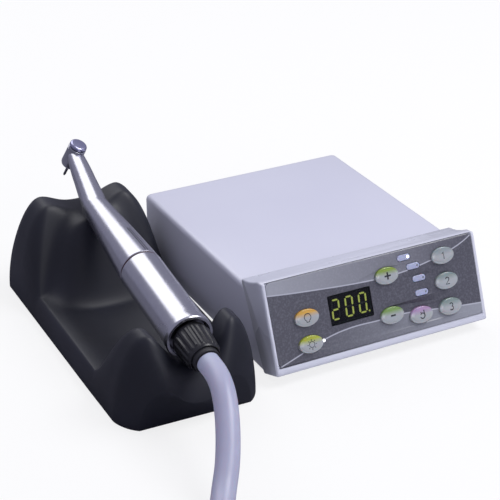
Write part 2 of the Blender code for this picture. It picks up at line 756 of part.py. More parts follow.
def build_base(unit):
    """Floor plate inside the casing's walls, with stand-offs for the main board and screw recesses."""
    width = BODY_WIDTH - 2 * WALL - 2 * FIT
    front = body_front(base_top()) + BASE_FRONT_GAP
    depth = BODY_BACK_Y - WALL - FIT - front
    base = block("base_plate", (width, depth, BASE_THICKNESS), black_plastic(), unit,
                 (0, front + depth / 2, BODY_BOTTOM_Z + BASE_THICKNESS / 2))
    for number, (x, y) in enumerate(standoff_places(), 1):
        post = rod(f"join_standoff_{number}", STANDOFF_RADIUS, BODY_BOTTOM_Z + BASE_THICKNESS / 2,
                   base_top() + STANDOFF_HEIGHT, None, unit, (x, y, 0), sides=12)
        boolean(base, post, "UNION")
    for number, (x, y) in enumerate(post_places(), 1):
        recess = rod(f"cut_recess_{number}", SCREW_HEAD_RADIUS + FIT, BODY_BOTTOM_Z - OVERRUN,
                     BODY_BOTTOM_Z + SCREW_RECESS, None, unit, (x, y, 0), sides=16)
        hole = rod(f"cut_screw_{number}", SCREW_RADIUS + FIT, BODY_BOTTOM_Z - OVERRUN,
                   base_top() + OVERRUN, None, unit, (x, y, 0), sides=16)
        boolean(base, recess)
        boolean(base, hole)
        build_screw(f"case_screw_{number}", (x, y), unit)
    foot_x = BODY_WIDTH / 2 - FOOT_INSET - SCREW_HEAD_RADIUS
    spots = [(side * foot_x, y) for y in (front + FOOT_INSET, BODY_BACK_Y - FOOT_INSET)
             for side in (-1, 1)]
    tread_share = 0.9
    for number, (x, y) in enumerate(spots, 1):
        outline = [(0, BODY_BOTTOM_Z - FIT), (FOOT_RADIUS, BODY_BOTTOM_Z - FIT),
                   (FOOT_RADIUS, BODY_BOTTOM_Z / 3), (FOOT_RADIUS * tread_share, 0), (0, 0)]
        turned(f"rubber_foot_{number}", outline, rubber(), unit, (x, y, 0), sides=20)


def build_screw(name, spot, unit):
    low = BODY_BOTTOM_Z + SCREW_RECESS - FIT - SCREW_HEAD_HEIGHT
    high = low + SCREW_HEAD_HEIGHT
    outline = [(0, high + SCREW_LENGTH), (SCREW_RADIUS, high + SCREW_LENGTH), (SCREW_RADIUS, high),
               (SCREW_HEAD_RADIUS, high), (SCREW_HEAD_RADIUS, low), (0, low)]
    return turned(name, outline, steel(), unit, (*spot, 0), sides=12)


def standoff_places():
    x = MAIN_BOARD_WIDTH / 2 - STANDOFF_INSET
    y = MAIN_BOARD_DEPTH / 2 - STANDOFF_INSET
    return [(MAIN_BOARD_X + a * x, MAIN_BOARD_Y + b * y) for a in (-1, 1) for b in (-1, 1)]


def build_electronics(unit):
    board_z = base_top() + STANDOFF_HEIGHT + FIT + BOARD_THICKNESS / 2
    block("main_board", (MAIN_BOARD_WIDTH, MAIN_BOARD_DEPTH, BOARD_THICKNESS), board_green(), unit,
          (MAIN_BOARD_X, MAIN_BOARD_Y, board_z))
    iron = material("core_iron", (0.2, 0.2, 0.21), metallic=1.0, roughness=0.5)
    middle = (CORE_X, CORE_Y, base_top() + FIT + CORE_HEIGHT / 2)
    core = block("transformer_core", (CORE_WIDTH, CORE_DEPTH, CORE_HEIGHT), iron, unit, middle)
    window = (CORE_WIDTH - CORE_LEG - 2 * CORE_YOKE) / 2
    opening = CORE_HEIGHT - 2 * CORE_YOKE
    for side in (-1, 1):
        spot = (CORE_X + side * (CORE_LEG + window) / 2, CORE_Y, middle[2])
        slot = block(f"cut_core_{side + 2}", (window, CORE_DEPTH + 2 * OVERRUN, opening), None, unit, spot)
        boolean(core, slot)
    outer = (CORE_LEG + 2 * window - 2 * FIT, CORE_DEPTH + 2 * COIL_BULGE, opening - 2 * FIT)
    coil = block("transformer_winding", outer, copper(), unit, middle, edge=COIL_BULGE / 3)
    eye = block("cut_winding_eye", (CORE_LEG + 2 * FIT, CORE_DEPTH + 2 * FIT, CORE_HEIGHT + OVERRUN), None,
                unit, middle)
    boolean(coil, eye)


def rear_row():
    """Places across the rear panel of the inlet, switch, socket and jack, with even gaps."""
    widths = (INLET_WIDTH + 2 * INLET_WALL + INLET_FLANGE, SWITCH_WIDTH + 2 * SWITCH_FLANGE,
              2 * (SOCKET_RADIUS + SOCKET_FLANGE), 2 * (JACK_RADIUS + SOCKET_FLANGE))
    gap = (REAR_WIDTH - sum(widths)) / (len(widths) + 1)
    places = []
    edge = REAR_WIDTH / 2
    for width in widths:
        edge -= gap
        places.append(edge - width / 2)
        edge -= width
    return places


def build_rear(unit):
    """Rear panel with the mains inlet, power switch, motor socket and foot control jack."""
    inlet_x, switch_x, socket_x, jack_x = rear_row()
    rear = frame("rear_frame", unit, (0, BODY_BACK_Y, REAR_CENTRE_Z), (-QUARTER, HALF_TURN, 0))
    plate_back = -REAR_THICKNESS - FIT
    holes = [rounded_box_outline(REAR_WIDTH - 2 * FIT, REAR_HEIGHT - 2 * FIT, BODY_ROUND / 2, 2)]
    holes.append(rounded_box_outline(INLET_WIDTH + 2 * FIT + 2 * INLET_WALL,
                                     INLET_HEIGHT + 2 * FIT + 2 * INLET_WALL,
                                     FIT, 1, (-inlet_x, 0)))
    holes.append(rounded_box_outline(SWITCH_WIDTH + 2 * FIT, SWITCH_HEIGHT + 2 * FIT, FIT, 1,
                                     (-switch_x, 0)))
    for x, radius in ((socket_x, SOCKET_RADIUS), (jack_x, JACK_RADIUS)):
        size = 2 * (radius + FIT)
        holes.append(ellipse_outline(size, size, 24, (-x, 0)))
    flat("rear_panel", holes, REAR_THICKNESS, black_plastic(), rear, (0, 0, plate_back + REAR_THICKNESS / 2))
    build_inlet(rear, inlet_x)
    build_switch(rear, switch_x)
    build_socket("motor_socket", socket_x, SOCKET_RADIUS, SOCKET_BORE, rear)
    build_socket("foot_control_jack", jack_x, JACK_RADIUS, JACK_BORE, rear)


def build_inlet(rear, place):
    """Mains inlet: flange and cup with three flat pins."""
    outer = (INLET_WIDTH + 2 * INLET_WALL, INLET_HEIGHT + 2 * INLET_WALL, INLET_DEPTH + INLET_WALL)
    inlet = block("mains_inlet", outer, black_plastic(), rear, (-place, 0, -outer[2] / 2 + FIT))
    flange = block("join_inlet_flange",
                   (outer[0] + INLET_FLANGE, outer[1] + INLET_FLANGE, INLET_FLANGE_THICKNESS), None, rear,
                   (-place, 0, INLET_FLANGE_THICKNESS / 2))
    boolean(inlet, flange, "UNION")
    mouth = INLET_FLANGE_THICKNESS + OVERRUN
    hollow = block("cut_inlet", (INLET_WIDTH, INLET_HEIGHT, INLET_DEPTH + mouth), None, rear,
                   (-place, 0, (mouth - INLET_DEPTH) / 2))
    boolean(inlet, hollow)
    floor = -INLET_DEPTH
    for number, (x, y) in enumerate(((-PIN_SPACING / 2, -PIN_RISE / 2), (PIN_SPACING / 2, -PIN_RISE / 2),
                                     (0, PIN_RISE)), 1):
        pin = block(f"join_pin_{number}", (PIN_WIDTH, PIN_HEIGHT, PIN_LENGTH + INLET_WALL / 2), None, rear,
                    (x - place, y, floor + (PIN_LENGTH - INLET_WALL / 2) / 2))
        boolean(inlet, pin, "UNION")


def build_switch(rear, place):
    """Power switch: a snap-in body with a rocker on a cross axis."""
    body = block("power_switch", (SWITCH_WIDTH, SWITCH_HEIGHT, SWITCH_DEPTH), black_plastic(), rear,
                 (-place, 0, -SWITCH_DEPTH / 2 + FIT))
    flange = block("join_switch_flange",
                   (SWITCH_WIDTH + 2 * SWITCH_FLANGE, SWITCH_HEIGHT + 2 * SWITCH_FLANGE,
                    SWITCH_FLANGE_THICKNESS), None, rear, (-place, 0, SWITCH_FLANGE_THICKNESS / 2))
    boolean(body, flange, "UNION")
    mouth = SWITCH_FLANGE_THICKNESS + OVERRUN
    well = SWITCH_DEPTH - SWITCH_WALL
    size = (SWITCH_WIDTH - 2 * SWITCH_WALL, SWITCH_HEIGHT - 2 * SWITCH_WALL, well + mouth)
    hollow = block("cut_switch", size, None, rear, (-place, 0, (mouth - well) / 2))
    boolean(body, hollow)
    pivot = frame("rocker_pivot", rear, (-place, 0, -ROCKER_SINK), (ROCKER_THROW, 0, 0))
    outline = []
    steps = 8
    for step in range(steps + 1):
        y = mix(-ROCKER_HALF, ROCKER_HALF, step / steps)
        dip = ROCKER_DISH * math.cos(y / ROCKER_HALF * QUARTER)
        outline.append((y, ROCKER_RISE - dip))
    below = ROCKER_RISE - 2 * ROCKER_DISH
    outline += [(ROCKER_HALF, below), (SWITCH_WALL, -SWITCH_WALL), (-SWITCH_WALL, -SWITCH_WALL),
                (-ROCKER_HALF, below)]
    width = size[0] - 2 * FIT
    flat("power_rocker", [outline], width, black_plastic(), pivot, rotation=(QUARTER, 0, QUARTER))


def build_socket(name, x, radius, bore, rear):
    """A round socket: flange outside the panel, cup behind it."""
    top = SOCKET_RISE
    floor = -SOCKET_DEPTH
    outline = [(bore, top), (radius + SOCKET_FLANGE, top), (radius + SOCKET_FLANGE, 0), (radius, 0),
               (radius, floor), (0, floor), (0, floor + SOCKET_FLOOR), (bore, floor + SOCKET_FLOOR)]
    return turned(name, outline[1:] + outline[:1], steel(), rear, (-x, 0, 0), closed=True, sides=24)


# Cradle

def cradle_section(y):
    """Half width, hump place and height, saddle or valley height of the cradle at a place along it."""
    length = CRADLE_LENGTH
    front = 1 - smooth_step((y - FRONT_WALL_TOP) / (FRONT_WALL_INNER - FRONT_WALL_TOP))
    back = 1 - smooth_step((length - y - BACK_WALL_TOP) / (BACK_WALL_INNER - BACK_WALL_TOP))
    seat = 1 - smooth_step((length - y - BACK_SADDLE_TOP) / (BACK_SADDLE_INNER - BACK_SADDLE_TOP))
    half = mix(CRADLE_FRONT_HALF, CRADLE_BACK_HALF, y / length)
    hump_x = RIM_HALF + (HUMP_HALF - RIM_HALF) * max(front, back)
    hump_z = RIM_Z + (FRONT_HUMP_Z - RIM_Z) * front + (BACK_HUMP_Z - RIM_Z) * back
    saddle = VALLEY_Z + (front_saddle_z() - VALLEY_Z) * front + (back_saddle_z() - VALLEY_Z) * seat
    return half, hump_x, hump_z, saddle


def cradle_x():
    """Place across of the middle of the cradle's front end, with its back corner clear of the casing."""
    lean = CRADLE_LENGTH * math.sin(CRADLE_TURN)
    return -(BODY_WIDTH / 2 + CRADLE_GAP + CRADLE_BACK_HALF + lean)


def front_saddle_z():
    """The sleeve's flare lies on the front saddle."""
    return HANDPIECE_Z - (FLARE_RADIUS + FIT) / math.cos(HANDPIECE_TILT)


def back_saddle_z():
    """The contra-angle lies on the inner edge of the back saddle, just past its bend."""
    edge = CRADLE_LENGTH - BACK_SADDLE_TOP + CRADLE_FRONT_Y
    bend_y = HANDPIECE_Y + bend_place() * math.cos(HANDPIECE_TILT)
    bend_z = HANDPIECE_Z + bend_place() * math.sin(HANDPIECE_TILT)
    rise = (edge - bend_y) * math.tan(HANDPIECE_TILT + BEND_ANGLE)
    return bend_z + max(0, rise) - BEND_RADIUS - 3 * FIT


def corner_inset(distance, radius):
    """How far a rounded corner draws the side in, at a distance from the end."""
    if distance >= radius:
        return 0
    return radius - math.sqrt(radius ** 2 - (radius - distance) ** 2)


def end_height(distance, reach, square_share):
    """Share of the full height that an end has, at a distance from its face."""
    if distance >= reach:
        return 1
    start = 1 - (1 - square_share ** 2) ** 0.5
    share = mix(start, 1, distance / reach)
    return (1 - (1 - share) ** 2) ** 0.5


def bow(x, y):
    """How far the bowed front end sets a point back, which fades out along the cradle."""
    sag = CRADLE_BOW_RADIUS - math.sqrt(CRADLE_BOW_RADIUS ** 2 - x * x)
    return sag * (1 - smooth_step(y / CRADLE_BOW_FADE))


def cradle_rows():
    """Places along the cradle, close together where an end or a wall curves."""
    end_shares = (0, 0.04, 0.12, 0.25, 0.45, 0.7, 1)
    steps = 7
    inner_end = CRADLE_LENGTH - BACK_SADDLE_INNER
    places = [share * END_ROUND for share in end_shares]
    places += [mix(FRONT_WALL_TOP, FRONT_WALL_INNER, step / steps) for step in range(steps + 1)]
    places += [mix(FRONT_WALL_INNER, inner_end, step / 4) for step in range(1, 4)]
    places += [mix(inner_end, CRADLE_LENGTH - BACK_WALL_TOP, step / 9) for step in range(10)]
    places += [CRADLE_LENGTH - share * BACK_END_ROUND for share in reversed(end_shares)]
    return places


def cradle_section_points(y):
    """Outline of the cradle across its length, from the right foot over the saddle to the left foot."""
    half, hump_x, hump_z, saddle = cradle_section(y)
    front_distance, back_distance = y, CRADLE_LENGTH - y
    inset = max(corner_inset(front_distance, CRADLE_CORNER), corner_inset(back_distance, CRADLE_BACK_CORNER))
    half -= inset
    rise = min(end_height(front_distance, END_ROUND, END_SQUARE_SHARE),
               end_height(back_distance, BACK_END_ROUND, BACK_SQUARE_SHARE))
    hump_x -= inset * hump_x / (half + inset)
    right = []
    flank_steps, saddle_steps = 7, 6
    for step in range(flank_steps + 1):
        angle = QUARTER * step / flank_steps
        x = hump_x + (half - hump_x) * math.cos(angle) ** (2 / FLANK_POWER)
        z = hump_z * math.sin(angle) ** (2 / FLANK_POWER)
        right.append((x, z * rise))
    for step in range(1, saddle_steps + 1):
        share = 1 - step / saddle_steps
        lift = (1 - math.cos(math.pi * share ** SADDLE_POWER)) / 2
        right.append((hump_x * share, mix(saddle, hump_z, lift) * rise))
    left = [(-x, z) for x, z in reversed(right[:-1])]
    return [(x, y + bow(x, y), z) for x, z in right + left]


def sole_points(y, upper):
    """Points of the flat underside below a section, from the left foot to the right, feet left out."""
    half = upper[0][0]
    sole_shares = (-0.8, -0.5, 0, 0.5, 0.8)
    return [(half * share, y + bow(half * share, y), 0) for share in sole_shares]


def close_end(shape, upper, lower):
    """Fill an end face with upright strips between its outline and the sole's points."""
    i, j = 0, 0
    while i < len(upper) - 1 or j < len(lower) - 1:
        above = upper[i + 1].co.x if i < len(upper) - 1 else -math.inf
        below = lower[j + 1].co.x if j < len(lower) - 1 else -math.inf
        if above >= below:
            i += 1
            corners = (upper[i - 1], upper[i], lower[j])
        else:
            j += 1
            corners = (upper[i], lower[j], lower[j - 1])
        if len(set(corners)) == 3:
            shape.faces.new(corners)


def build_cradle(unit):
    spot = (cradle_x(), CRADLE_FRONT_Y, 0)
    cradle = frame("cradle_frame", unit, spot, (0, 0, -CRADLE_TURN))
    shape = bmesh.new()
    rows, soles = [], []
    for y in cradle_rows():
        upper = cradle_section_points(y)
        row = [shape.verts.new(point) for point in upper]
        sole = [shape.verts.new(point) for point in sole_points(y, upper)]
        rows.append(row)
        soles.append([row[0], *reversed(sole), row[-1]])
    for lines in (rows, soles):
        for first, second in zip(lines, lines[1:]):
            for i in range(len(first) - 1):
                shape.faces.new((first[i], first[i + 1], second[i + 1], second[i]))
    for end in (0, -1):
        close_end(shape, rows[end], soles[end])
    bmesh.ops.recalc_face_normals(shape, faces=shape.faces)
    return mesh_object("cradle_body", shape, cradle_black(), cradle, smooth=60 * DEG)


# Handpiece

def build_motor(axis):
    """Sleeve, stator, rotor, bearings, nose, nut and hose collar, all along the motor's axis."""
    inner = SLEEVE_RADIUS - SLEEVE_WALL
    front_wall = SLEEVE_LENGTH - SLEEVE_NOSE_WALL
    swell_share, swell_place_share = 0.35, 0.6
    outline = [
        (NOSE_RADIUS + FIT, SLEEVE_LENGTH), (SLEEVE_RADIUS, SLEEVE_LENGTH), (SLEEVE_RADIUS, FLARE_LENGTH),
        (mix(SLEEVE_RADIUS, FLARE_RADIUS, swell_share), FLARE_LENGTH * swell_place_share),
        (FLARE_RADIUS, FLARE_LIP), (FLARE_RADIUS - SLEEVE_WALL / 4, 0), (inner, 0),
        (inner, front_wall), (NOSE_RADIUS + FIT, front_wall),
    ]
    turned("motor_sleeve", outline[1:] + outline[:1], steel(), axis, closed=True, sides=32)
    nose_back = front_wall - FIT - NOSE_FLANGE
    outline = [
        (NOSE_RADIUS, SLEEVE_LENGTH + NOSE_LENGTH), (NOSE_RADIUS, front_wall - FIT),
        (inner - FIT, front_wall - FIT), (inner - FIT, nose_back), (NOSE_BORE, nose_back),
        (NOSE_BORE, SLEEVE_LENGTH + NOSE_LENGTH),
    ]
    turned("motor_nose", outline, steel(), axis, closed=True, sides=24)
    stator_end = nose_back - 2 * BEARING_GAP - BEARING_WIDTH
    ring("motor_stator", inner - FIT, STATOR_BORE, STATOR_START, stator_end, copper(), axis)
    bearing_high = STATOR_START - BEARING_GAP
    ring("rear_bearing", inner - FIT, SHAFT_RADIUS + RUNNING, bearing_high - BEARING_WIDTH, bearing_high,
         steel(), axis, sides=20)
    ring("front_bearing", inner - FIT, SHAFT_RADIUS + RUNNING, stator_end + BEARING_GAP,
         stator_end + BEARING_GAP + BEARING_WIDTH, steel(), axis, sides=20)
    build_rotor(axis, stator_end)
    build_nut(axis, inner)


def build_rotor(axis, stator_end):
    drum_low = STATOR_START + BEARING_GAP
    drum_high = stator_end - BEARING_GAP
    shaft_low = STATOR_START - BEARING_GAP - BEARING_WIDTH
    shaft_high = SLEEVE_LENGTH + NOSE_LENGTH
    magnet = material("magnet", (0.12, 0.12, 0.13), metallic=1.0, roughness=0.4)
    outline = [
        (0, shaft_high), (SHAFT_RADIUS, shaft_high), (SHAFT_RADIUS, drum_high), (ROTOR_RADIUS, drum_high),
        (ROTOR_RADIUS, drum_low), (SHAFT_RADIUS, drum_low), (SHAFT_RADIUS, shaft_low), (0, shaft_low),
    ]
    return turned("motor_rotor", outline, magnet, axis, sides=24)


def nut_radius(height):
    """Outer radius of the nut, which narrows towards the hose."""
    share = -height / NUT_LENGTH
    return mix(NUT_RADIUS, NUT_TIP_RADIUS, share * share)


def build_nut(axis, inner):
    """Ribbed union nut: its threaded skirt goes into the sleeve, its ribs stand along it."""
    count = NUT_RIBS * 4
    rings = []
    plain_share = 0.12
    for share in (0.0, plain_share, 0.5, 1 - plain_share, 1.0):
        height = -FIT - share * (NUT_LENGTH - FIT)
        ribbed = 0 < share < 1
        points = []
        for i in range(count):
            angle = 2 * math.pi * i / count
            crest = NUT_RIB_DEPTH if ribbed and i % 4 < 2 else 0
            radius = nut_radius(height) - NUT_RIB_DEPTH + crest
            points.append((radius * math.cos(angle), radius * math.sin(angle), height))
        rings.append(points)
    nut = loft("union_nut", rings, black_plastic(), axis, smooth=20 * DEG)
    skirt = rod("join_nut_skirt", inner - FIT, -2 * FIT - OVERRUN, NUT_THREAD_LENGTH, None, axis, sides=24)
    boolean(nut, skirt, "UNION")
    bore = rod("cut_nut_bore", NUT_BORE, -NUT_LENGTH - OVERRUN, NUT_THREAD_LENGTH + OVERRUN, None, axis,
               sides=24)
    boolean(nut, bore)
    collar_low = -NUT_LENGTH - COLLAR_PROUD
    ring("hose_collar", COLLAR_RADIUS, COLLAR_BORE, collar_low, collar_low + COLLAR_LENGTH, black_plastic(),
         axis)


def contra_angle_points():
    """Centre line and radii of the contra-angle's outside, in the motor's frame; up is -Y there."""
    start = SLEEVE_LENGTH + RING_LENGTH + 2 * FIT
    bend = bend_place()
    places, radii = [], []
    sheath_shares = (0, 0.12, 0.35, 0.6, 0.85)
    for share in sheath_shares:
        places.append((0, 0, mix(start, bend, share)))
        radii.append(mix(SHEATH_RADIUS, BEND_RADIUS, share ** SHEATH_POWER))
    neck_shares = (0.16, 0.36, 0.58, 0.8, 1.0)
    for share in neck_shares:
        along = NECK_LENGTH * share
        places.append((0, -along * math.sin(BEND_ANGLE), bend + along * math.cos(BEND_ANGLE)))
        if share < 0.5:
            radii.append(mix(BEND_RADIUS, NECK_RADIUS, share * 2))
        else:
            radii.append(mix(NECK_RADIUS, NECK_TIP_RADIUS, (share * 2 - 1) ** NECK_POWER))
    return places, radii


def bend_place():
    return SLEEVE_LENGTH + RING_LENGTH + 2 * FIT + SHEATH_LENGTH


def build_contra_angle(axis):
    swivel = frame("contra_angle_swivel", axis, (0, 0, 0), (0, 0, HEAD_ROLL))
    neck = frame("neck_axis", swivel, (0, 0, bend_place()), (BEND_ANGLE, 0, 0))
    head = frame("head_axis", neck, (0, 0, NECK_LENGTH), (QUARTER, 0, 0))
    maroon = material("ring_maroon", (0.09, 0.012, 0.02), roughness=0.35)
    ring_low = SLEEVE_LENGTH + FIT
    ring("colour_ring", RING_RADIUS, NOSE_RADIUS + FIT, ring_low, ring_low + RING_LENGTH, maroon, swivel,
         sides=32)
    places, radii = contra_angle_points()
    body = as_mesh(tube("contra_angle_body", places, radii, steel(), swivel, resolution=4))
    body.data.shade_smooth()
    body.data.set_sharp_from_angle(angle=40 * DEG)
    drum = turned("join_head_drum", head_outline(), None, head, sides=28)
    boolean(body, drum, "UNION")
    for cutter in contra_angle_cutters(swivel, neck, head):
        boolean(body, cutter)
    build_gear_train(swivel, neck)
    build_head(head)


def head_outline():
    start_share, inset_share, rise_share = 1.6, 0.4, 0.6
    return [(0, HEAD_ABOVE), (HEAD_RADIUS, HEAD_ABOVE), (HEAD_RADIUS, -HEAD_BELOW + HEAD_ROUND * start_share),
            (HEAD_RADIUS - HEAD_ROUND * inset_share, -HEAD_BELOW + HEAD_ROUND * rise_share),
            (HEAD_RADIUS - HEAD_ROUND, -HEAD_BELOW), (0, -HEAD_BELOW)]


def contra_angle_cutters(swivel, neck, head):
    """Hollows: the coupling's bore, the gear chamber at the bend, the neck's bore and the head."""
    low = SLEEVE_LENGTH - OVERRUN
    coupling_end = SLEEVE_LENGTH + NOSE_LENGTH + FIT
    bend = bend_place()
    coupling = rod("cut_coupling", COUPLING_BORE, low, coupling_end, None, swivel)
    drive = rod("cut_drive", DRIVE_BORE, coupling_end - FIT, bend + DRIVE_BORE_REACH, None, swivel)
    chamber = rod("cut_bend_chamber", BEND_BORE, -FIT, BEND_BORE_REACH, None, neck)
    bore = rod("cut_neck", NECK_BORE, 0, NECK_LENGTH, None, neck)
    cavity = rod("cut_head", HEAD_CAVITY, -HEAD_BELOW + HEAD_FLOOR, HEAD_ABOVE + OVERRUN, None, head)
    outlet = rod("cut_outlet", SPINDLE_RADIUS + RUNNING * 2, -HEAD_BELOW - OVERRUN, 0, None, head)
    return [coupling, drive, chamber, bore, cavity, outlet]


def star_outline(radius, wave, teeth, phase, height, count_per_tooth=6):
    count = teeth * count_per_tooth
    points = []
    for i in range(count):
        angle = 2 * math.pi * i / count
        reach = radius + wave * math.cos(teeth * (angle - phase))
        points.append((reach * math.cos(angle), reach * math.sin(angle), height))
    return points


def cone_angles(large_teeth, small_teeth, between):
    """Pitch cones of a bevel pair whose axes meet at an angle; the large one's may pass a right angle."""
    small = math.atan2(math.sin(between), large_teeth / small_teeth + math.cos(between))
    return between - small, small


def bevel_gear(name, cone, distance, inner_share, teeth, phase, lean, finish, parent):
    """Tapered toothed wheel on a cone whose apex is the frame's origin. lean moves it off the pitch cone."""
    wave = TOOTH_HEIGHT_SHARE
    rings = []
    for share in (1.0, inner_share):
        reach = distance * share
        radius = reach * math.sin(cone) + lean * share
        rings.append(star_outline(radius, reach * wave, teeth, phase, reach * math.cos(cone)))
    return loft(name, rings, finish, parent, smooth=20 * DEG)


def build_gear_train(swivel, neck):
    """Drive shaft with its toothed cup, neck shaft with a pinion and a crown wheel, and bearings."""
    bend = bend_place()
    cup_cone, pinion_cone = cone_angles(CUP_TEETH, CUP_PINION_TEETH, HALF_TURN - BEND_ANGLE)
    cup_frame = frame("cup_apex", swivel, (0, 0, bend))
    distance = CUP_CONE_DISTANCE
    cup_top = distance * -math.cos(cup_cone) + FIT
    cup_floor = cup_top - distance * CUP_DEPTH_SHARE
    cup_outer = distance * (math.sin(cup_cone) * CUP_RIM_SHARE + TOOTH_HEIGHT_SHARE) + CUP_WALL
    bore_top = SLEEVE_LENGTH + NOSE_LENGTH + FIT - bend
    outline = [
        (0, cup_top), (cup_outer, cup_top), (cup_outer, cup_floor - CUP_WALL),
        (DRIVE_SHAFT_RADIUS, cup_floor - 2 * CUP_WALL), (DRIVE_SHAFT_RADIUS, bore_top), (0, bore_top),
    ]
    drive = turned("drive_shaft", outline, steel(), cup_frame, sides=24)
    flip = HALF_TURN - cup_cone
    rings = []
    for share in CUP_CUT_SHARES:
        reach = distance * share
        radius = reach * math.sin(flip) + MESH_GAP * share
        wave = reach * TOOTH_HEIGHT_SHARE
        rings.append(star_outline(radius, wave, CUP_TEETH, -QUARTER, reach * math.cos(flip)))
    hollow = loft("cut_cup_teeth", rings, None, cup_frame, smooth=None)
    boolean(drive, hollow)
    build_neck_shaft(neck, pinion_cone, distance)
    drive_bearing_low = bore_top + 3 * BEARING_WIDTH
    ring("drive_bearing", DRIVE_BORE - FIT, DRIVE_SHAFT_RADIUS + RUNNING, drive_bearing_low,
         drive_bearing_low + BEARING_WIDTH, steel(), cup_frame, sides=20)
    ring("neck_bearing", NECK_BORE - FIT, NECK_SHAFT_RADIUS + RUNNING, NECK_LENGTH * 0.5,
         NECK_LENGTH * 0.5 + BEARING_WIDTH, steel(), neck, sides=16)


def build_neck_shaft(neck, pinion_cone, distance):
    crown_cone = cone_angles(CROWN_TEETH, HEAD_PINION_TEETH, QUARTER)[0]
    shaft = bevel_gear("neck_shaft", pinion_cone, distance, PINION_INNER_SHARE, CUP_PINION_TEETH, -QUARTER,
                       -MESH_GAP / 2, steel(), neck)
    apex = frame("crown_apex", neck, (0, 0, NECK_LENGTH), (HALF_TURN, 0, 0))
    crown = bevel_gear("join_crown", crown_cone, HEAD_CONE_DISTANCE, CROWN_INNER_SHARE, CROWN_TEETH,
                       QUARTER + HALF_TURN / CROWN_TEETH, -MESH_GAP, None, apex)
    crown_plane = NECK_LENGTH - HEAD_CONE_DISTANCE * math.cos(crown_cone)
    stem = rod("join_neck_stem", NECK_SHAFT_RADIUS, distance * STEM_START_SHARE, crown_plane + FIT / 2, None,
               neck, sides=12)
    back = rod("join_crown_back", HEAD_CONE_DISTANCE * math.sin(crown_cone) * CROWN_BACK_SHARE,
               crown_plane - CUP_WALL, crown_plane + FIT / 2, None, neck, sides=24)
    for piece in (stem, back, crown):
        boolean(shaft, piece, "UNION")


def build_head(head):
    """Spindle with its pinion, the two bearings, the bur, the push cap and its spring."""
    crown_cone, pinion_cone = cone_angles(CROWN_TEETH, HEAD_PINION_TEETH, QUARTER)
    floor = -HEAD_BELOW + HEAD_FLOOR
    upside = frame("pinion_apex", head, (0, 0, 0), (HALF_TURN, 0, 0))
    low_bearing = floor + FIT
    crown_reach = HEAD_CONE_DISTANCE * (math.sin(crown_cone) + TOOTH_HEIGHT_SHARE)
    high_bearing = crown_reach + FIT
    bearing_bore = SPINDLE_RADIUS + RUNNING
    ring("lower_head_bearing", HEAD_CAVITY - FIT, bearing_bore, low_bearing,
         low_bearing + HEAD_BEARING_HEIGHT, steel(), head, sides=24)
    ring("upper_head_bearing", HEAD_CAVITY - FIT, bearing_bore, high_bearing,
         high_bearing + HEAD_BEARING_HEIGHT, steel(), head, sides=24)
    spindle_low = floor - HEAD_FLOOR / 2
    spindle_high = high_bearing + HEAD_BEARING_HEIGHT + FIT
    spindle = rod("chuck_spindle", SPINDLE_RADIUS, spindle_low, spindle_high, steel(), head, sides=20)
    pinion = bevel_gear("join_head_pinion", pinion_cone, HEAD_CONE_DISTANCE, HEAD_PINION_INNER_SHARE,
                        HEAD_PINION_TEETH, QUARTER, -MESH_GAP, None, upside)
    boolean(spindle, pinion, "UNION")
    bore = rod("cut_chuck", BUR_RADIUS + SNUG, spindle_low - OVERRUN, BUR_INSIDE + FIT, None, head, sides=20)
    boolean(spindle, bore)
    tip_share = 0.7
    outline = [(0, BUR_INSIDE), (BUR_RADIUS, BUR_INSIDE), (BUR_RADIUS, -BUR_REACH + BUR_RADIUS),
               (BUR_RADIUS * tip_share, -BUR_REACH + BUR_RADIUS * (1 - tip_share)), (0, -BUR_REACH)]
    turned("bur", outline, steel(), head, sides=16)
    cap_low = HEAD_ABOVE + CAP_GAP
    crown_shares = ((0.0, 1.0), (0.7, 1.0), (0.9, 0.86), (1.0, 0.55))
    outline = [(CAP_RADIUS * out, cap_low + CAP_HEIGHT * up) for out, up in crown_shares]
    outline += [(CAP_RADIUS, cap_low), (CAP_STEM_RADIUS, cap_low),
                (CAP_STEM_RADIUS, cap_low - CAP_STEM_LENGTH), (0, cap_low - CAP_STEM_LENGTH)]
    turned("push_cap", outline, steel(), head, sides=28)
    spring_low = high_bearing + HEAD_BEARING_HEIGHT + FIT / 2
    ring("cap_spring", SPRING_RADIUS, SPRING_RADIUS - SPRING_WIDTH, spring_low, spring_low + SPRING_HEIGHT,
         steel(), head, sides=20)


def build_handpiece(unit):
    spot = (cradle_x(), HANDPIECE_Y, HANDPIECE_Z)
    axis = frame("motor_axis", unit, spot, (-QUARTER + HANDPIECE_TILT, 0, -HANDPIECE_TURN))
    build_motor(axis)
    build_contra_angle(axis)


# Hose

def smooth_route(points, spacing):
    """Points at even steps along a curve that passes through the given points."""
    fine = []
    padded = [points[0] * 2 - points[1], *points, points[-1] * 2 - points[-2]]
    steps = 12
    for a, b, c, d in zip(padded, padded[1:], padded[2:], padded[3:]):
        for step in range(steps):
            t = step / steps
            fine.append(0.5 * ((2 * b) + (c - a) * t + (2 * a - 5 * b + 4 * c - d) * t ** 2
                               + (3 * b - a - 3 * c + d) * t ** 3))
    fine.append(points[-1])
    total = sum((q - p).length for p, q in zip(fine, fine[1:]))
    count = max(2, round(total / spacing))
    result, walked, index = [fine[0]], 0.0, 0
    for number in range(1, count):
        target = total * number / count
        while walked + (fine[index + 1] - fine[index]).length < target:
            walked += (fine[index + 1] - fine[index]).length
            index += 1
        step = (fine[index + 1] - fine[index])
        result.append(fine[index] + step * ((target - walked) / step.length))
    result.append(fine[-1])
    return result


def coil_centre():
    return Vector((cradle_x() + COIL_X, COIL_Y, 0))


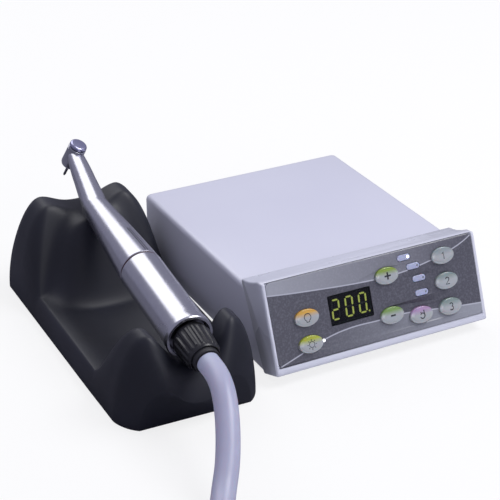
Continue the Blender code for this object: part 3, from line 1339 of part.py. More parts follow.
def coil_points():
    """Two layers of turns: the spiral goes in on the table and out again on top of itself."""
    turns = COIL_TURNS_PER_LAYER
    count = round(2 * turns * COIL_POINTS_PER_TURN)
    centre = coil_centre()
    points = []
    for number in range(count + 1):
        turn = number / COIL_POINTS_PER_TURN
        inward = turn if turn <= turns else 2 * turns - turn
        radius = COIL_OUTER_RADIUS - COIL_PITCH * inward
        angle = COIL_START_ANGLE + 2 * math.pi * turn
        climb = smooth_step((turn - turns) / COIL_CLIMB_TURNS + 0.5)
        height = HOSE_RADIUS + TABLE_GAP + COIL_LAYER * climb
        points.append(centre + Vector((radius * math.cos(angle), radius * math.sin(angle), height)))
    return points


def least_gap(points, radius):
    """Least clear space between stretches of the tube that lie more than two diameters apart along it."""
    samples = smooth_route(points, radius)
    skip = 6
    least = min((p - q).length for i, p in enumerate(samples) for q in samples[i + skip:])
    return least - 2 * radius


def build_hose(unit):
    """The free stretch, the coil with its tail, and the plug on its end."""
    coil = coil_points()
    heading = Vector((-math.sin(COIL_START_ANGLE), math.cos(COIL_START_ANGLE), 0))
    lead_in = coil[0] - heading * 2 * HOSE_RADIUS
    start = Vector((cradle_x(), 0, 0))
    route = [start + Vector(point) * MM for point in HOSE_ROUTE]
    route.append(lead_in - heading * FIT)
    free = smooth_route(route, FREE_STEP)
    tube("hose", free, [HOSE_RADIUS] * len(free), hose_grey(), unit, resolution=3)
    tail = smooth_route([coil[-1], *[coil_centre() + Vector(point) * MM for point in TAIL_ROUTE]], TAIL_STEP)
    whole = [lead_in] + coil + tail[1:]
    tube("hose_coil", whole, [HOSE_RADIUS] * len(whole), hose_grey(), unit, resolution=1)
    gap = least_gap(whole, HOSE_RADIUS)
    length = sum((q - p).length for p, q in zip(free, free[1:])) + sum(
        (q - p).length for p, q in zip(whole, whole[1:]))
    print(f"hose length {length * 1000:.0f} mm, least gap of the coil to itself {gap * 1000:.2f} mm")
    run = (whole[-1] - whole[-2]).normalized()
    turn = run.to_track_quat("Z", "Y").to_euler()
    plug = frame("plug_axis", unit, whole[-1] + run * FIT, turn)
    long = PLUG_GRIP_LENGTH
    outline = [
        (0, long + PLUG_TIP_LENGTH), (PLUG_TIP_RADIUS, long + PLUG_TIP_LENGTH), (PLUG_TIP_RADIUS, long),
        (PLUG_RADIUS, long), (PLUG_RADIUS, long / 4), (PLUG_NECK_RADIUS, 0), (0, 0),
    ]
    turned("hose_plug", outline, black_plastic(), plug, sides=24)


def centre_on_origin(unit):
    """Move everything so that the middle of the unit, cradle and handpiece stands on the origin."""
    bpy.context.view_layer.update()
    graph = bpy.context.evaluated_depsgraph_get()
    points = []
    for item in PARTS.objects:
        if item.type == "EMPTY" or item.name in CORD_PIECES:
            continue
        shown = item.evaluated_get(graph)
        data = shown.to_mesh()
        points += [shown.matrix_world @ vertex.co for vertex in data.vertices]
        shown.to_mesh_clear()
    for axis in (0, 1):
        values = [point[axis] for point in points]
        unit.location[axis] = -(min(values) + max(values)) / 2


def build():
    clear_scene()
    make_collections()
    unit = frame("unit_frame")
    panel = build_bezel(unit)
    build_keypad(panel)
    build_display(panel)
    build_housing(unit)
    build_base(unit)
    build_electronics(unit)
    build_rear(unit)
    build_cradle(unit)
    build_handpiece(unit)
    build_hose(unit)
    centre_on_origin(unit)


build()
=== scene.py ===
"""Looks of the dental micromotor set: finishes, smooth forms, hose, table and studio light."""
import math

import bmesh
import bpy
from mathutils import Euler, Matrix, Vector


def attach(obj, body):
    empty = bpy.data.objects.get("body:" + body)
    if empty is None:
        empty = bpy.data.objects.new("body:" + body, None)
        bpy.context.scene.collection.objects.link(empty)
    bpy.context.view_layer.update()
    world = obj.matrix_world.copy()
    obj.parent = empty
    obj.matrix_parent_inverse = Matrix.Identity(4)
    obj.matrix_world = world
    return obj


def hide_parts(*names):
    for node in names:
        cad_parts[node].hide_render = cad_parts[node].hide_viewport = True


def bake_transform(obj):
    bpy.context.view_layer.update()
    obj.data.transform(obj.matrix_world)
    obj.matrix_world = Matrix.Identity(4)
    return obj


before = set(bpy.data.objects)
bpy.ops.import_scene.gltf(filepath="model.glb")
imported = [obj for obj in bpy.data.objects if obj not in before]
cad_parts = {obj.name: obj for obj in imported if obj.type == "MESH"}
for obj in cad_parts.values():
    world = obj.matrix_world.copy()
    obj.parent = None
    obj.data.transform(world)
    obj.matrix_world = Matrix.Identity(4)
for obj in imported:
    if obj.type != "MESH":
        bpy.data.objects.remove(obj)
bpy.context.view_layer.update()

MM = 0.001
DEG = math.pi / 180

# Where things stand, as in the CAD
UNIT = Vector((0.044977, -0.067404, 0))
KEYPAD = Vector((0.044977, -0.072021, 0.032251))
KEYPAD_TILT = 22 * DEG
CRADLE_X = -118.184 * MM
HANDPIECE = Vector((CRADLE_X, -14.0 * MM, 44.9 * MM))
HANDPIECE_TILT = 6.5 * DEG
HANDPIECE_TURN = 1.9 * DEG
HEAD_ROLL = 19.2 * DEG
BEND_ANGLE = 13.6 * DEG
SLEEVE_LENGTH = 64.5 * MM
RING_LENGTH = 1.0 * MM
RING_RADIUS = 12.0 * MM
RING_BORE = 5.3 * MM
FIT = 0.3 * MM
SHEATH_LENGTH = 69.5 * MM
SHEATH_RADIUS = 12.1 * MM
SHEATH_TAPER = 1.15
BEND_RADIUS = 7.6 * MM
NECK_LENGTH = 46.0 * MM
NECK_RADIUS = 6.3 * MM
NECK_TIP_RADIUS = 4.6 * MM
NECK_TAPER = 1.5
SHEATH_START = SLEEVE_LENGTH + RING_LENGTH + 2 * FIT
BEND = SHEATH_START + SHEATH_LENGTH

# The photograph's camera
CAMERA_OFFSET = Vector((-0.3949, -0.6088, 0.4332))
CAMERA_TURN = (62.7 * DEG, 0, -27.6 * DEG)
CAMERA_LENS = 108
CAMERA_SENSOR = 36

# Hose
HOSE_RADIUS = 6.0 * MM
TABLE_GAP = 0.1 * MM
COIL_OUTER_RADIUS = 60.0 * MM
COIL_PITCH = 13.0 * MM
COIL_LAYER = 12.7 * MM
COIL_TURNS = 2.25
COIL_STEPS = 48
COIL_CLIMB_TURNS = 0.5
COIL_START_ANGLE = 143.13 * DEG
COIL_CENTRE = Vector((CRADLE_X - 21.8 * MM, -208.4 * MM, 0))
HOSE_ROUTE = [
    (-0.75, -36.1, 42.5), (-1.10, -46.5, 41.3), (-3.00, -57.0, 38.7), (-6.40, -67.5, 33.5),
    (-11.00, -78.0, 26.6), (-16.80, -88.5, 19.0), (-24.00, -99.0, 12.4), (-33.85, -114.8, 7.7),
    (-43.00, -131.1, 6.3), (-52.20, -147.3, 6.1),
]
TAIL_ROUTE = [
    (57.6, -17.6, 20.6), (59.6, 3.1, 26.2), (52.6, 22.3, 30.8), (38.6, 37.0, 31.8),
    (19.5, 43.0, 31.8), (1.0, 39.4, 32.2), (-11.8, 30.2, 33.6), (-20.0, 19.4, 34.3),
]
ROUTE_STEP = 3.0 * MM


def srgb(red, green, blue):
    """A colour read off the photograph, as the linear values that a shader takes."""
    shares = [value / 255 for value in (red, green, blue)]
    return tuple(((v + 0.055) / 1.055) ** 2.4 if v > 0.04045 else v / 12.92 for v in shares)


def turned_frame(place, turn):
    return Matrix.Translation(place) @ Euler(turn).to_matrix().to_4x4()


PANEL = turned_frame(KEYPAD, (math.pi / 2 - KEYPAD_TILT, 0, 0))
MOTOR = turned_frame(UNIT + HANDPIECE, (-math.pi / 2 + HANDPIECE_TILT, 0, -HANDPIECE_TURN))
SWIVEL = MOTOR @ Matrix.Rotation(HEAD_ROLL, 4, "Z")
NECK = SWIVEL @ Matrix.Translation((0, 0, BEND)) @ Matrix.Rotation(BEND_ANGLE, 4, "X")
HEAD = NECK @ Matrix.Translation((0, 0, NECK_LENGTH)) @ Matrix.Rotation(math.pi / 2, 4, "X")


# Materials

class Shader:
    """One node material with a Principled shader, and short ways to wire it."""

    def __init__(self, name, colour, roughness=0.5, metallic=0.0, **inputs):
        self.made = bpy.data.materials.new(name)
        self.made.use_nodes = True
        self.nodes = self.made.node_tree.nodes
        self.links = self.made.node_tree.links
        self.shader = self.nodes["Principled BSDF"]
        self.set("Base Color", (*colour, 1))
        self.set("Roughness", roughness)
        self.set("Metallic", metallic)
        for key, value in inputs.items():
            self.set(key.replace("_", " "), value)

    def set(self, socket, value):
        self.shader.inputs[socket].default_value = value

    def add(self, kind, **settings):
        node = self.nodes.new(kind)
        for key, value in settings.items():
            if isinstance(value, bpy.types.NodeSocket):
                self.links.new(value, node.inputs[key])
            elif key in node.inputs:
                node.inputs[key].default_value = value
            else:
                setattr(node, key, value)
        return node

    def maths(self, operation, first, second=0.0, clamp=False):
        node = self.nodes.new("ShaderNodeMath")
        node.operation = operation
        node.use_clamp = clamp
        for socket, value in zip(node.inputs, (first, second)):
            if isinstance(value, bpy.types.NodeSocket):
                self.links.new(value, socket)
            else:
                socket.default_value = value
        return node.outputs[0]

    def place(self, stretch=(1, 1, 1)):
        """Object coordinates in metres, stretched."""
        where = self.nodes.new("ShaderNodeTexCoord").outputs["Object"]
        mapping = self.nodes.new("ShaderNodeMapping")
        mapping.inputs["Scale"].default_value = stretch
        self.links.new(where, mapping.inputs["Vector"])
        return mapping.outputs["Vector"]

    def noise(self, scale, stretch=(1, 1, 1), detail=3.0):
        node = self.add("ShaderNodeTexNoise", Scale=scale, Detail=detail)
        self.links.new(self.place(stretch), node.inputs["Vector"])
        return node.outputs["Fac"]

    def blend(self, share, first, second):
        """Mix two colours, each a linear triple or a socket."""
        node = self.nodes.new("ShaderNodeMix")
        node.data_type = "RGBA"
        inputs = (node.inputs[0], node.inputs[6], node.inputs[7])
        for socket, value in zip(inputs, (share, first, second)):
            if isinstance(value, bpy.types.NodeSocket):
                self.links.new(value, socket)
            elif isinstance(value, tuple):
                socket.default_value = (*value, 1)
            else:
                socket.default_value = value
        return node.outputs[2]

    def ranged(self, value, low, high, out_low=0.0, out_high=1.0):
        node = self.nodes.new("ShaderNodeMapRange")
        self.links.new(value, node.inputs["Value"])
        limits = {"From Min": low, "From Max": high, "To Min": out_low, "To Max": out_high}
        for key, amount in limits.items():
            node.inputs[key].default_value = amount
        return node.outputs[0]

    def colour(self, socket):
        self.links.new(socket, self.shader.inputs["Base Color"])

    def bump(self, height, strength, distance):
        node = self.nodes.new("ShaderNodeBump")
        node.inputs["Strength"].default_value = strength
        node.inputs["Distance"].default_value = distance
        self.links.new(height, node.inputs["Height"])
        self.links.new(node.outputs["Normal"], self.shader.inputs["Normal"])


GRAIN_DEPTH = 0.2 * MM
MARK_SCALE = 420
SMUDGE_SCALE = 30
MARK_DEPTH = 0.1 * MM


def speckled(name, dark, light, scale, roughness, spread=0.08, bump=0.0, metallic=0.0, grain=1500,
             **inputs):
    """A moulded or painted finish: faint cloudy colour, uneven gloss and a fine grain."""
    shade = Shader(name, light, roughness, metallic, **inputs)
    cloud = shade.noise(scale)
    shade.colour(shade.blend(shade.ranged(cloud, 0.35, 0.65), dark, light))
    gloss = shade.ranged(shade.noise(scale * 3), 0.3, 0.7, roughness - spread, roughness + spread)
    shade.links.new(gloss, shade.shader.inputs["Roughness"])
    if bump:
        shade.bump(shade.noise(grain, detail=2.0), bump, GRAIN_DEPTH)
    return shade.made


def brushed_metal(name, dark, light, roughness, stretch):
    """Satin steel, with fine turning marks across its length."""
    shade = Shader(name, light, roughness, 1.0)
    marks = shade.noise(MARK_SCALE, stretch)
    smudge = shade.noise(SMUDGE_SCALE)
    colour = shade.blend(shade.ranged(marks, 0.35, 0.65), dark, light)
    shade.colour(shade.blend(shade.ranged(smudge, 0.4, 0.75, 0, 0.25), colour, dark))
    gloss = shade.ranged(smudge, 0.3, 0.7, roughness - 0.02, roughness + 0.03)
    shade.links.new(gloss, shade.shader.inputs["Roughness"])
    shade.bump(marks, 0.025, MARK_DEPTH)
    return shade.made


def glowing(name, colour, strength):
    shade = Shader(name, colour, 0.3)
    shade.set("Emission Color", (*colour, 1))
    shade.set("Emission Strength", strength)
    return shade.made


def panel_height(shade):
    """Place up the keypad's slope, in millimetres from its middle, and place across it."""
    where = shade.nodes.new("ShaderNodeTexCoord").outputs["Object"]
    moved = shade.nodes.new("ShaderNodeVectorMath")
    moved.operation = "SUBTRACT"
    moved.inputs[1].default_value = KEYPAD
    shade.links.new(where, moved.inputs[0])
    values = []
    for direction in ((0, math.sin(KEYPAD_TILT), math.cos(KEYPAD_TILT)), (1, 0, 0)):
        dot = shade.nodes.new("ShaderNodeVectorMath")
        dot.operation = "DOT_PRODUCT"
        dot.inputs[1].default_value = Vector(direction) / MM
        shade.links.new(moved.outputs[0], dot.inputs[0])
        values.append(dot.outputs["Value"])
    return values


def float_curve(shade, across, points):
    """Height of a drawn line over the keypad, as a smooth curve through its points in millimetres."""
    half, reach = PANEL_HALF_WIDTH / MM, LINE_REACH / MM
    node = shade.nodes.new("ShaderNodeFloatCurve")
    curve = node.mapping.curves[0]
    placed = [((x + half) / (2 * half), (y + reach) / (2 * reach)) for x, y in points]
    curve.points[0].location = placed[0]
    curve.points[1].location = placed[-1]
    for spot in placed[1:-1]:
        curve.points.new(*spot)
    node.mapping.update()
    shade.links.new(shade.ranged(across, -half, half), node.inputs["Value"])
    return shade.ranged(node.outputs[0], 0, 1, -reach, reach)


PANEL_HALF_WIDTH = 65.65 * MM
LINE_REACH = 30.0 * MM
LINE_HALF = 0.28                        # of a drawn line, in millimetres
LINE_SOFT = 0.12
UPPER_LINE = [
    (-65.6, 16.5), (-41.8, 13.9), (1, 10.8), (15.2, 10.9), (29.3, 12.3), (52.6, 17), (65.6, 22.3),
]
LOWER_LINE = [
    (-65.6, -22.8), (-50.5, -18.3), (-37.4, -14.3), (-20.6, -11.7), (-0.1, -11.8), (15.5, -11.8),
    (33, -13.7), (52.8, -16), (65.6, -17.2),
]


def panel_print():
    """The keypad's sheet: a dark middle between two swept lines, with paler fields above and below."""
    dark, edge = srgb(78, 78, 87), srgb(176, 178, 188)
    shade = Shader("panel_print", dark, 0.3, Coat_Weight=0.3, Coat_Roughness=0.15)
    up, across = panel_height(shade)
    upper = shade.maths("SUBTRACT", up, float_curve(shade, across, UPPER_LINE))
    lower = shade.maths("SUBTRACT", float_curve(shade, across, LOWER_LINE), up)
    left_to_right = shade.ranged(across, -62, 60)
    upper_field = shade.blend(left_to_right, srgb(152, 154, 162), srgb(84, 84, 94))
    lower_field = shade.blend(shade.ranged(across, -50, 66), srgb(78, 78, 87), srgb(146, 149, 157))
    colour = shade.blend(shade.ranged(upper, 0, LINE_SOFT), dark, upper_field)
    colour = shade.blend(shade.ranged(lower, 0, LINE_SOFT), colour, lower_field)
    for distance in (upper, lower):
        away = shade.maths("ABSOLUTE", distance)
        line = shade.ranged(away, LINE_HALF, LINE_HALF + LINE_SOFT, 1, 0)
        colour = shade.blend(line, colour, edge)
    flecks = shade.ranged(shade.noise(900, detail=2.0), 0.45, 0.7, 0, 0.12)
    shade.colour(shade.blend(flecks, colour, edge))
    shade.bump(shade.noise(2200, detail=2.0), 0.05, MARK_DEPTH)
    return shade.made


def key_print(name, tint, node):
    """A translucent key: its colour lies in the upper part of the dome and fades below."""
    pale = srgb(166, 170, 172)
    shade = Shader(name, pale, 0.22, Subsurface_Weight=0.15, Coat_Weight=0.5, Coat_Roughness=0.1)
    shade.set("Subsurface Scale", 1.0 * MM)
    up = panel_height(shade)[0]
    middle = KEY_PLACES[node][1] / MM
    share = shade.ranged(up, middle + 0.2, middle + 3.0)
    shade.colour(shade.blend(share, pale, tint))
    return shade.made


WHITE = speckled("pearl_white", srgb(202, 203, 217), srgb(206, 207, 220), 9, 0.34, 0.015,
                 bump=0.03, Coat_Weight=0.2, Coat_Roughness=0.2)
BEZEL_WHITE = speckled("bezel_white", srgb(201, 203, 215), srgb(206, 208, 219), 9, 0.28, 0.015,
                       bump=0.02, Coat_Weight=0.4, Coat_Roughness=0.12)
CRADLE = speckled("cradle_black", srgb(18, 20, 30), srgb(24, 26, 38), 22, 0.52, 0.03,
                  bump=0.06, grain=2600)
METAL = brushed_metal("satin_steel", srgb(186, 186, 194), srgb(198, 198, 204), 0.26, (1, 7, 1))
DARK_METAL = brushed_metal("socket_steel", srgb(130, 130, 138), srgb(160, 160, 166), 0.32, (3, 3, 3))
CAP_METAL = brushed_metal("cap_steel", srgb(166, 166, 194), srgb(178, 178, 204), 0.3, (4, 4, 4))
NUT_BLACK = speckled("nut_black", srgb(18, 18, 20), srgb(34, 34, 38), 60, 0.3, bump=0.08, grain=3000)
PLASTIC = speckled("black_plastic", srgb(24, 24, 27), srgb(36, 36, 40), 40, 0.42, bump=0.12, grain=1800)
HOSE = speckled("hose_silicone", srgb(164, 167, 190), srgb(174, 177, 198), 30, 0.36, 0.03,
                bump=0.03, Subsurface_Weight=0.08)
RUBBER = speckled("foot_rubber", srgb(26, 26, 28), srgb(40, 40, 43), 80, 0.75, bump=0.2)
MAROON = speckled("ring_maroon", srgb(46, 20, 30), srgb(66, 28, 40), 80, 0.35)
BOARD = speckled("board_green", srgb(18, 78, 44), srgb(30, 98, 56), 90, 0.4, bump=0.1)
COPPER = brushed_metal("winding_copper", srgb(150, 84, 50), srgb(196, 122, 80), 0.4, (1, 1, 30))
IRON = speckled("core_iron", srgb(60, 60, 64), srgb(92, 92, 98), 60, 0.5, metallic=1.0)
LENS = Shader("lamp_lens", srgb(176, 174, 200), 0.25, Coat_Weight=0.5, Subsurface_Weight=0.2).made
GLASS = Shader("display_glass", srgb(150, 150, 160), 0.03, Transmission_Weight=1.0, IOR=1.35).made
DISPLAY = speckled("display_black", srgb(22, 24, 24), srgb(30, 32, 32), 100, 0.35)
LIT = glowing("segment_lit", srgb(208, 222, 104), 1.5)
UNLIT = Shader("segment_unlit", srgb(92, 97, 84), 0.4).made
LED = glowing("led_white", srgb(252, 252, 255), 4.0)
INK = Shader("symbol_ink", srgb(34, 34, 40), 0.5).made


# Shapes

def smooth_step(value):
    value = min(1.0, max(0.0, value))
    return value * value * (3 - 2 * value)


def mix(first, second, share):
    return first + (second - first) * share


def finish_piece(name, data, finish, body, replaces=(), angle=40):
    """Give a mesh its shading, material and body, and hide the solids that it stands for."""
    data.shade_smooth()
    data.set_sharp_from_angle(angle=angle * DEG)
    data.materials.clear()
    data.materials.append(finish)
    piece = bpy.data.objects.new(name, data)
    bpy.context.scene.collection.objects.link(piece)
    if body:
        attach(piece, body)
    if replaces:
        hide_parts(*replaces)
    return piece


def mesh_of(shape, name, matrix=None):
    bmesh.ops.recalc_face_normals(shape, faces=shape.faces)
    data = bpy.data.meshes.new(name)
    shape.to_mesh(data)
    shape.free()
    if matrix is not None:
        data.transform(matrix)
    return data


def rings_mesh(name, rings, matrix=None, closed=False):
    """Join rings of points, each with as many, and cap the two ends or close the loop."""
    shape = bmesh.new()
    rows = [[shape.verts.new(point) for point in ring] for ring in rings]
    pairs = list(zip(rows, rows[1:]))
    if closed:
        pairs.append((rows[-1], rows[0]))
    count = len(rows[0])
    for first, second in pairs:
        for i in range(count):
            j = (i + 1) % count
            shape.faces.new((first[i], first[j], second[j], second[i]))
    if not closed:
        shape.faces.new(rows[0][::-1])
        shape.faces.new(rows[-1])
    return mesh_of(shape, name, matrix)


def circle(radius, height, count):
    angles = [2 * math.pi * i / count for i in range(count)]
    return [(radius * math.cos(angle), radius * math.sin(angle), height) for angle in angles]


def in_metres(outline):
    return [(radius * MM, height * MM) for radius, height in outline]


def rounded_outline(corners, radius, steps=4):
    """Round each inner corner of an open outline with an arc."""
    result = [corners[0]]
    for before, here, after in zip(corners, corners[1:], corners[2:]):
        a, b, c = Vector(before), Vector(here), Vector(after)
        into, out = (a - b), (c - b)
        reach = min(radius, into.length * 0.45, out.length * 0.45)
        start, end = b + into.normalized() * reach, b + out.normalized() * reach
        for step in range(steps + 1):
            t = step / steps
            result.append(tuple(start * (1 - t) ** 2 + b * 2 * t * (1 - t) + end * t ** 2))
    result.append(corners[-1])
    return result


def lathe(name, outline, matrix, count=72, closed=False):
    """Turn an outline of (radius, height) round Z. A closed outline makes a ring."""
    tiny = 0.01 * MM
    rings = [circle(max(radius, tiny), height, count) for radius, height in outline]
    return rings_mesh(name, rings, matrix, closed=closed)


def dress(node, finish, body, angle=35):
    """A welded, smoothly shaded copy of a CAD solid in its finish."""
    shape = bmesh.new()
    shape.from_mesh(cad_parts[node].data)
    bmesh.ops.remove_doubles(shape, verts=shape.verts, dist=0.002 * MM)
    data = mesh_of(shape, node)
    finish_piece(f"{node}_finish", data, finish, body, (node,), angle)


# Hose

def smooth_route(points, spacing):
    """Points at even steps along a curve that passes through the given points."""
    fine = []
    padded = [points[0] * 2 - points[1], *points, points[-1] * 2 - points[-2]]
    steps = 12
    for a, b, c, d in zip(padded, padded[1:], padded[2:], padded[3:]):
        for step in range(steps):
            t = step / steps
            fine.append(0.5 * ((2 * b) + (c - a) * t + (2 * a - 5 * b + 4 * c - d) * t ** 2
                               + (3 * b - a - 3 * c + d) * t ** 3))
    fine.append(points[-1])
    total = sum((q - p).length for p, q in zip(fine, fine[1:]))
    count = max(2, round(total / spacing))
    result, walked, index = [fine[0]], 0.0, 0
    for number in range(1, count):
        target = total * number / count
        while walked + (fine[index + 1] - fine[index]).length < target:
            walked += (fine[index + 1] - fine[index]).length
            index += 1
        step = fine[index + 1] - fine[index]
        result.append(fine[index] + step * ((target - walked) / step.length))
    result.append(fine[-1])
    return result


def coil_points():
    count = round(2 * COIL_TURNS * COIL_STEPS)
    points = []
    for number in range(count + 1):
        turn = number / COIL_STEPS
        inward = turn if turn <= COIL_TURNS else 2 * COIL_TURNS - turn
        radius = COIL_OUTER_RADIUS - COIL_PITCH * inward
        angle = COIL_START_ANGLE + 2 * math.pi * turn
        climb = smooth_step((turn - COIL_TURNS) / COIL_CLIMB_TURNS + 0.5)
        height = HOSE_RADIUS + TABLE_GAP + COIL_LAYER * climb
        place = Vector((radius * math.cos(angle), radius * math.sin(angle), height))
        points.append(COIL_CENTRE + place)
    return points


def hose_path():
    """The whole hose's centre line, from the handpiece's nut to the plug."""
    coil = coil_points()
    heading = Vector((-math.sin(COIL_START_ANGLE), math.cos(COIL_START_ANGLE), 0))
    lead_in = coil[0] - heading * 2 * HOSE_RADIUS
    start = Vector((CRADLE_X, 0, 0))
    free_points = [start + Vector(point) * MM for point in HOSE_ROUTE]
    tail_points = [COIL_CENTRE + Vector(point) * MM for point in TAIL_ROUTE]
    free = smooth_route([*free_points, lead_in], ROUTE_STEP)
    tail = smooth_route([coil[-1], *tail_points], ROUTE_STEP)
    return [point + UNIT for point in free + coil + tail[1:]]


def sweep(name, path, radius, sides=28):
    """A round tube along a path, with rings that turn as little as they can."""
    rings = []
    up = Vector((1, 0, 0))
    last = len(path) - 1
    angles = [2 * math.pi * k / sides for k in range(sides)]
    for i, point in enumerate(path):
        along = (path[min(i + 1, last)] - path[max(i - 1, 0)]).normalized()
        side = up.cross(along).normalized()
        up = along.cross(side).normalized()
        rings.append([point + (side * math.cos(angle) + up * math.sin(angle)) * radius
                      for angle in angles])
    return rings_mesh(name, rings)


def build_hose():
    path = hose_path()
    data = sweep("hose_run", path, HOSE_RADIUS)
    piece = finish_piece("hose_run", data, HOSE, None, ("hose", "hose_coil"), 50)
    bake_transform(piece)
    plug = build_plug(path)


# Each ring of the plug's grip: height and radius in millimetres, and 1 where it is ribbed
PLUG_RINGS = [
    (0, 7.0, 0), (1.5, 7.6, 0), (7.5, 8.9, 0), (9, 8.9, 1), (27, 8.9, 1), (28, 8.9, 0),
    (29.4, 8.7, 0), (30, 8.1, 0),
]
PLUG_LENGTH = 30.0 * MM
PLUG_RIBS = 16
PLUG_POINTS_PER_RIB = 8
PLUG_GROOVE = 0.45 * MM
PLUG_NOSE_RADIUS, PLUG_NOSE_REACH = 6.1 * MM, 10.9 * MM
PLUG_COLLAR_RADIUS, PLUG_COLLAR_REACH = 7.4 * MM, 3.0 * MM


def build_plug(path):
    """The motor plug on the hose's far end: a ribbed grip, and a metal collar and nose."""
    run = (path[-1] - path[-2]).normalized()
    matrix = turned_frame(path[-1] + run * FIT, run.to_track_quat("Z", "Y").to_euler())
    count = PLUG_RIBS * PLUG_POINTS_PER_RIB
    rings = []
    for height, size, ribbed in PLUG_RINGS:
        ring = []
        for i in range(count):
            angle = 2 * math.pi * i / count
            reach = size * MM - PLUG_GROOVE * max(0, math.sin(PLUG_RIBS * angle)) * ribbed
            ring.append((reach * math.cos(angle), reach * math.sin(angle), height * MM))
        rings.append(ring)
    body = finish_piece("plug_grip", rings_mesh("plug_grip", rings, matrix), PLASTIC,
                        "control_unit", ("hose_plug",), 30)
    for name, radius, reach, corner in (
            ("plug_nose", PLUG_NOSE_RADIUS, PLUG_NOSE_REACH, 0.6 * MM),
            ("plug_collar", PLUG_COLLAR_RADIUS, PLUG_COLLAR_REACH, 0.4 * MM)):
        low, high = PLUG_LENGTH - MM, PLUG_LENGTH + reach
        outline = rounded_outline([(0, high), (radius, high), (radius, low), (0, low)], corner)
        finish_piece(name, lathe(name, outline, matrix), DARK_METAL, "control_unit")
    return body


# Cradle

CRADLE_LENGTH = 190.5 * MM
CRADLE_FRONT_HALF = 40.4 * MM
CRADLE_BACK_HALF = 43.8 * MM
CRADLE_PLACE = Vector((CRADLE_X, -27.5 * MM, 0))
CRADLE_TURN = 1.8 * DEG
CRADLE_CORNER = 9.0 * MM
CRADLE_BACK_CORNER = 5.0 * MM
CRADLE_BOW_RADIUS = 60.0 * MM
CRADLE_BOW_FADE = 70.0 * MM
HUMP_HALF = 23.5 * MM
FRONT_HUMP_Z = 50.5 * MM
BACK_HUMP_Z = 58.5 * MM
RIM_HALF = 38.0 * MM
RIM_Z = 13.5 * MM
VALLEY_Z = 8.0 * MM
FRONT_WALL_TOP, FRONT_WALL_INNER = 20.0 * MM, 52.0 * MM
BACK_WALL_TOP, BACK_WALL_INNER = 24.0 * MM, 50.0 * MM
BACK_SADDLE_TOP, BACK_SADDLE_INNER = 39.0 * MM, 68.0 * MM
SADDLE_POWER = 1.45
FLANK_POWER = 1.8
END_ROUND, END_SQUARE_SHARE = 12.0 * MM, 0.45
BACK_END_ROUND, BACK_SQUARE_SHARE = 13.0 * MM, 0.6
FLARE_RADIUS = 13.1 * MM


def saddle_heights():
    """The front saddle carries the sleeve's flare, and the back one the contra-angle past its bend."""
    front = HANDPIECE.z - (FLARE_RADIUS + FIT) / math.cos(HANDPIECE_TILT)
    edge = CRADLE_LENGTH - BACK_SADDLE_TOP + CRADLE_PLACE.y
    bend_y = HANDPIECE.y + BEND * math.cos(HANDPIECE_TILT)
    bend_z = HANDPIECE.z + BEND * math.sin(HANDPIECE_TILT)
    rise = (edge - bend_y) * math.tan(HANDPIECE_TILT + BEND_ANGLE)
    return front, bend_z + max(0, rise) - BEND_RADIUS - 3 * FIT


def corner_inset(distance, radius):
    if distance >= radius:
        return 0
    return radius - math.sqrt(radius ** 2 - (radius - distance) ** 2)


def end_height(distance, reach, square_share):
    if distance >= reach:
        return 1
    start = 1 - (1 - square_share ** 2) ** 0.5
    share = mix(start, 1, distance / reach)
    return (1 - (1 - share) ** 2) ** 0.5


def cradle_outline(y, flank_steps=20, saddle_steps=22):
    """The cradle's outline across its length, from the right foot over the saddle to the left foot."""
    front_z, back_z = saddle_heights()
    front = 1 - smooth_step((y - FRONT_WALL_TOP) / (FRONT_WALL_INNER - FRONT_WALL_TOP))
    back = 1 - smooth_step((CRADLE_LENGTH - y - BACK_WALL_TOP) / (BACK_WALL_INNER - BACK_WALL_TOP))
    seat = 1 - smooth_step((CRADLE_LENGTH - y - BACK_SADDLE_TOP) / (BACK_SADDLE_INNER - BACK_SADDLE_TOP))
    half = mix(CRADLE_FRONT_HALF, CRADLE_BACK_HALF, y / CRADLE_LENGTH)
    hump_x = RIM_HALF + (HUMP_HALF - RIM_HALF) * max(front, back)
    hump_z = RIM_Z + (FRONT_HUMP_Z - RIM_Z) * front + (BACK_HUMP_Z - RIM_Z) * back
    saddle = VALLEY_Z + (front_z - VALLEY_Z) * front + (back_z - VALLEY_Z) * seat
    inset = max(corner_inset(y, CRADLE_CORNER), corner_inset(CRADLE_LENGTH - y, CRADLE_BACK_CORNER))
    rise = min(end_height(y, END_ROUND, END_SQUARE_SHARE),
               end_height(CRADLE_LENGTH - y, BACK_END_ROUND, BACK_SQUARE_SHARE))
    hump_x -= inset * hump_x / half
    half -= inset
    right = []
    for step in range(flank_steps + 1):
        angle = math.pi / 2 * step / flank_steps
        right.append((hump_x + (half - hump_x) * math.cos(angle) ** (2 / FLANK_POWER),
                      hump_z * math.sin(angle) ** (2 / FLANK_POWER) * rise))
    for step in range(1, saddle_steps + 1):
        share = 1 - step / saddle_steps
        lift = (1 - math.cos(math.pi * share ** SADDLE_POWER)) / 2
        right.append((hump_x * share, mix(saddle, hump_z, lift) * rise))
    outline = right + [(-x, z) for x, z in reversed(right[:-1])]
    fade = 1 - smooth_step(y / CRADLE_BOW_FADE)
    bow = CRADLE_BOW_RADIUS
    return [(x, y + (bow - math.sqrt(bow ** 2 - x * x)) * fade, z) for x, z in outline]


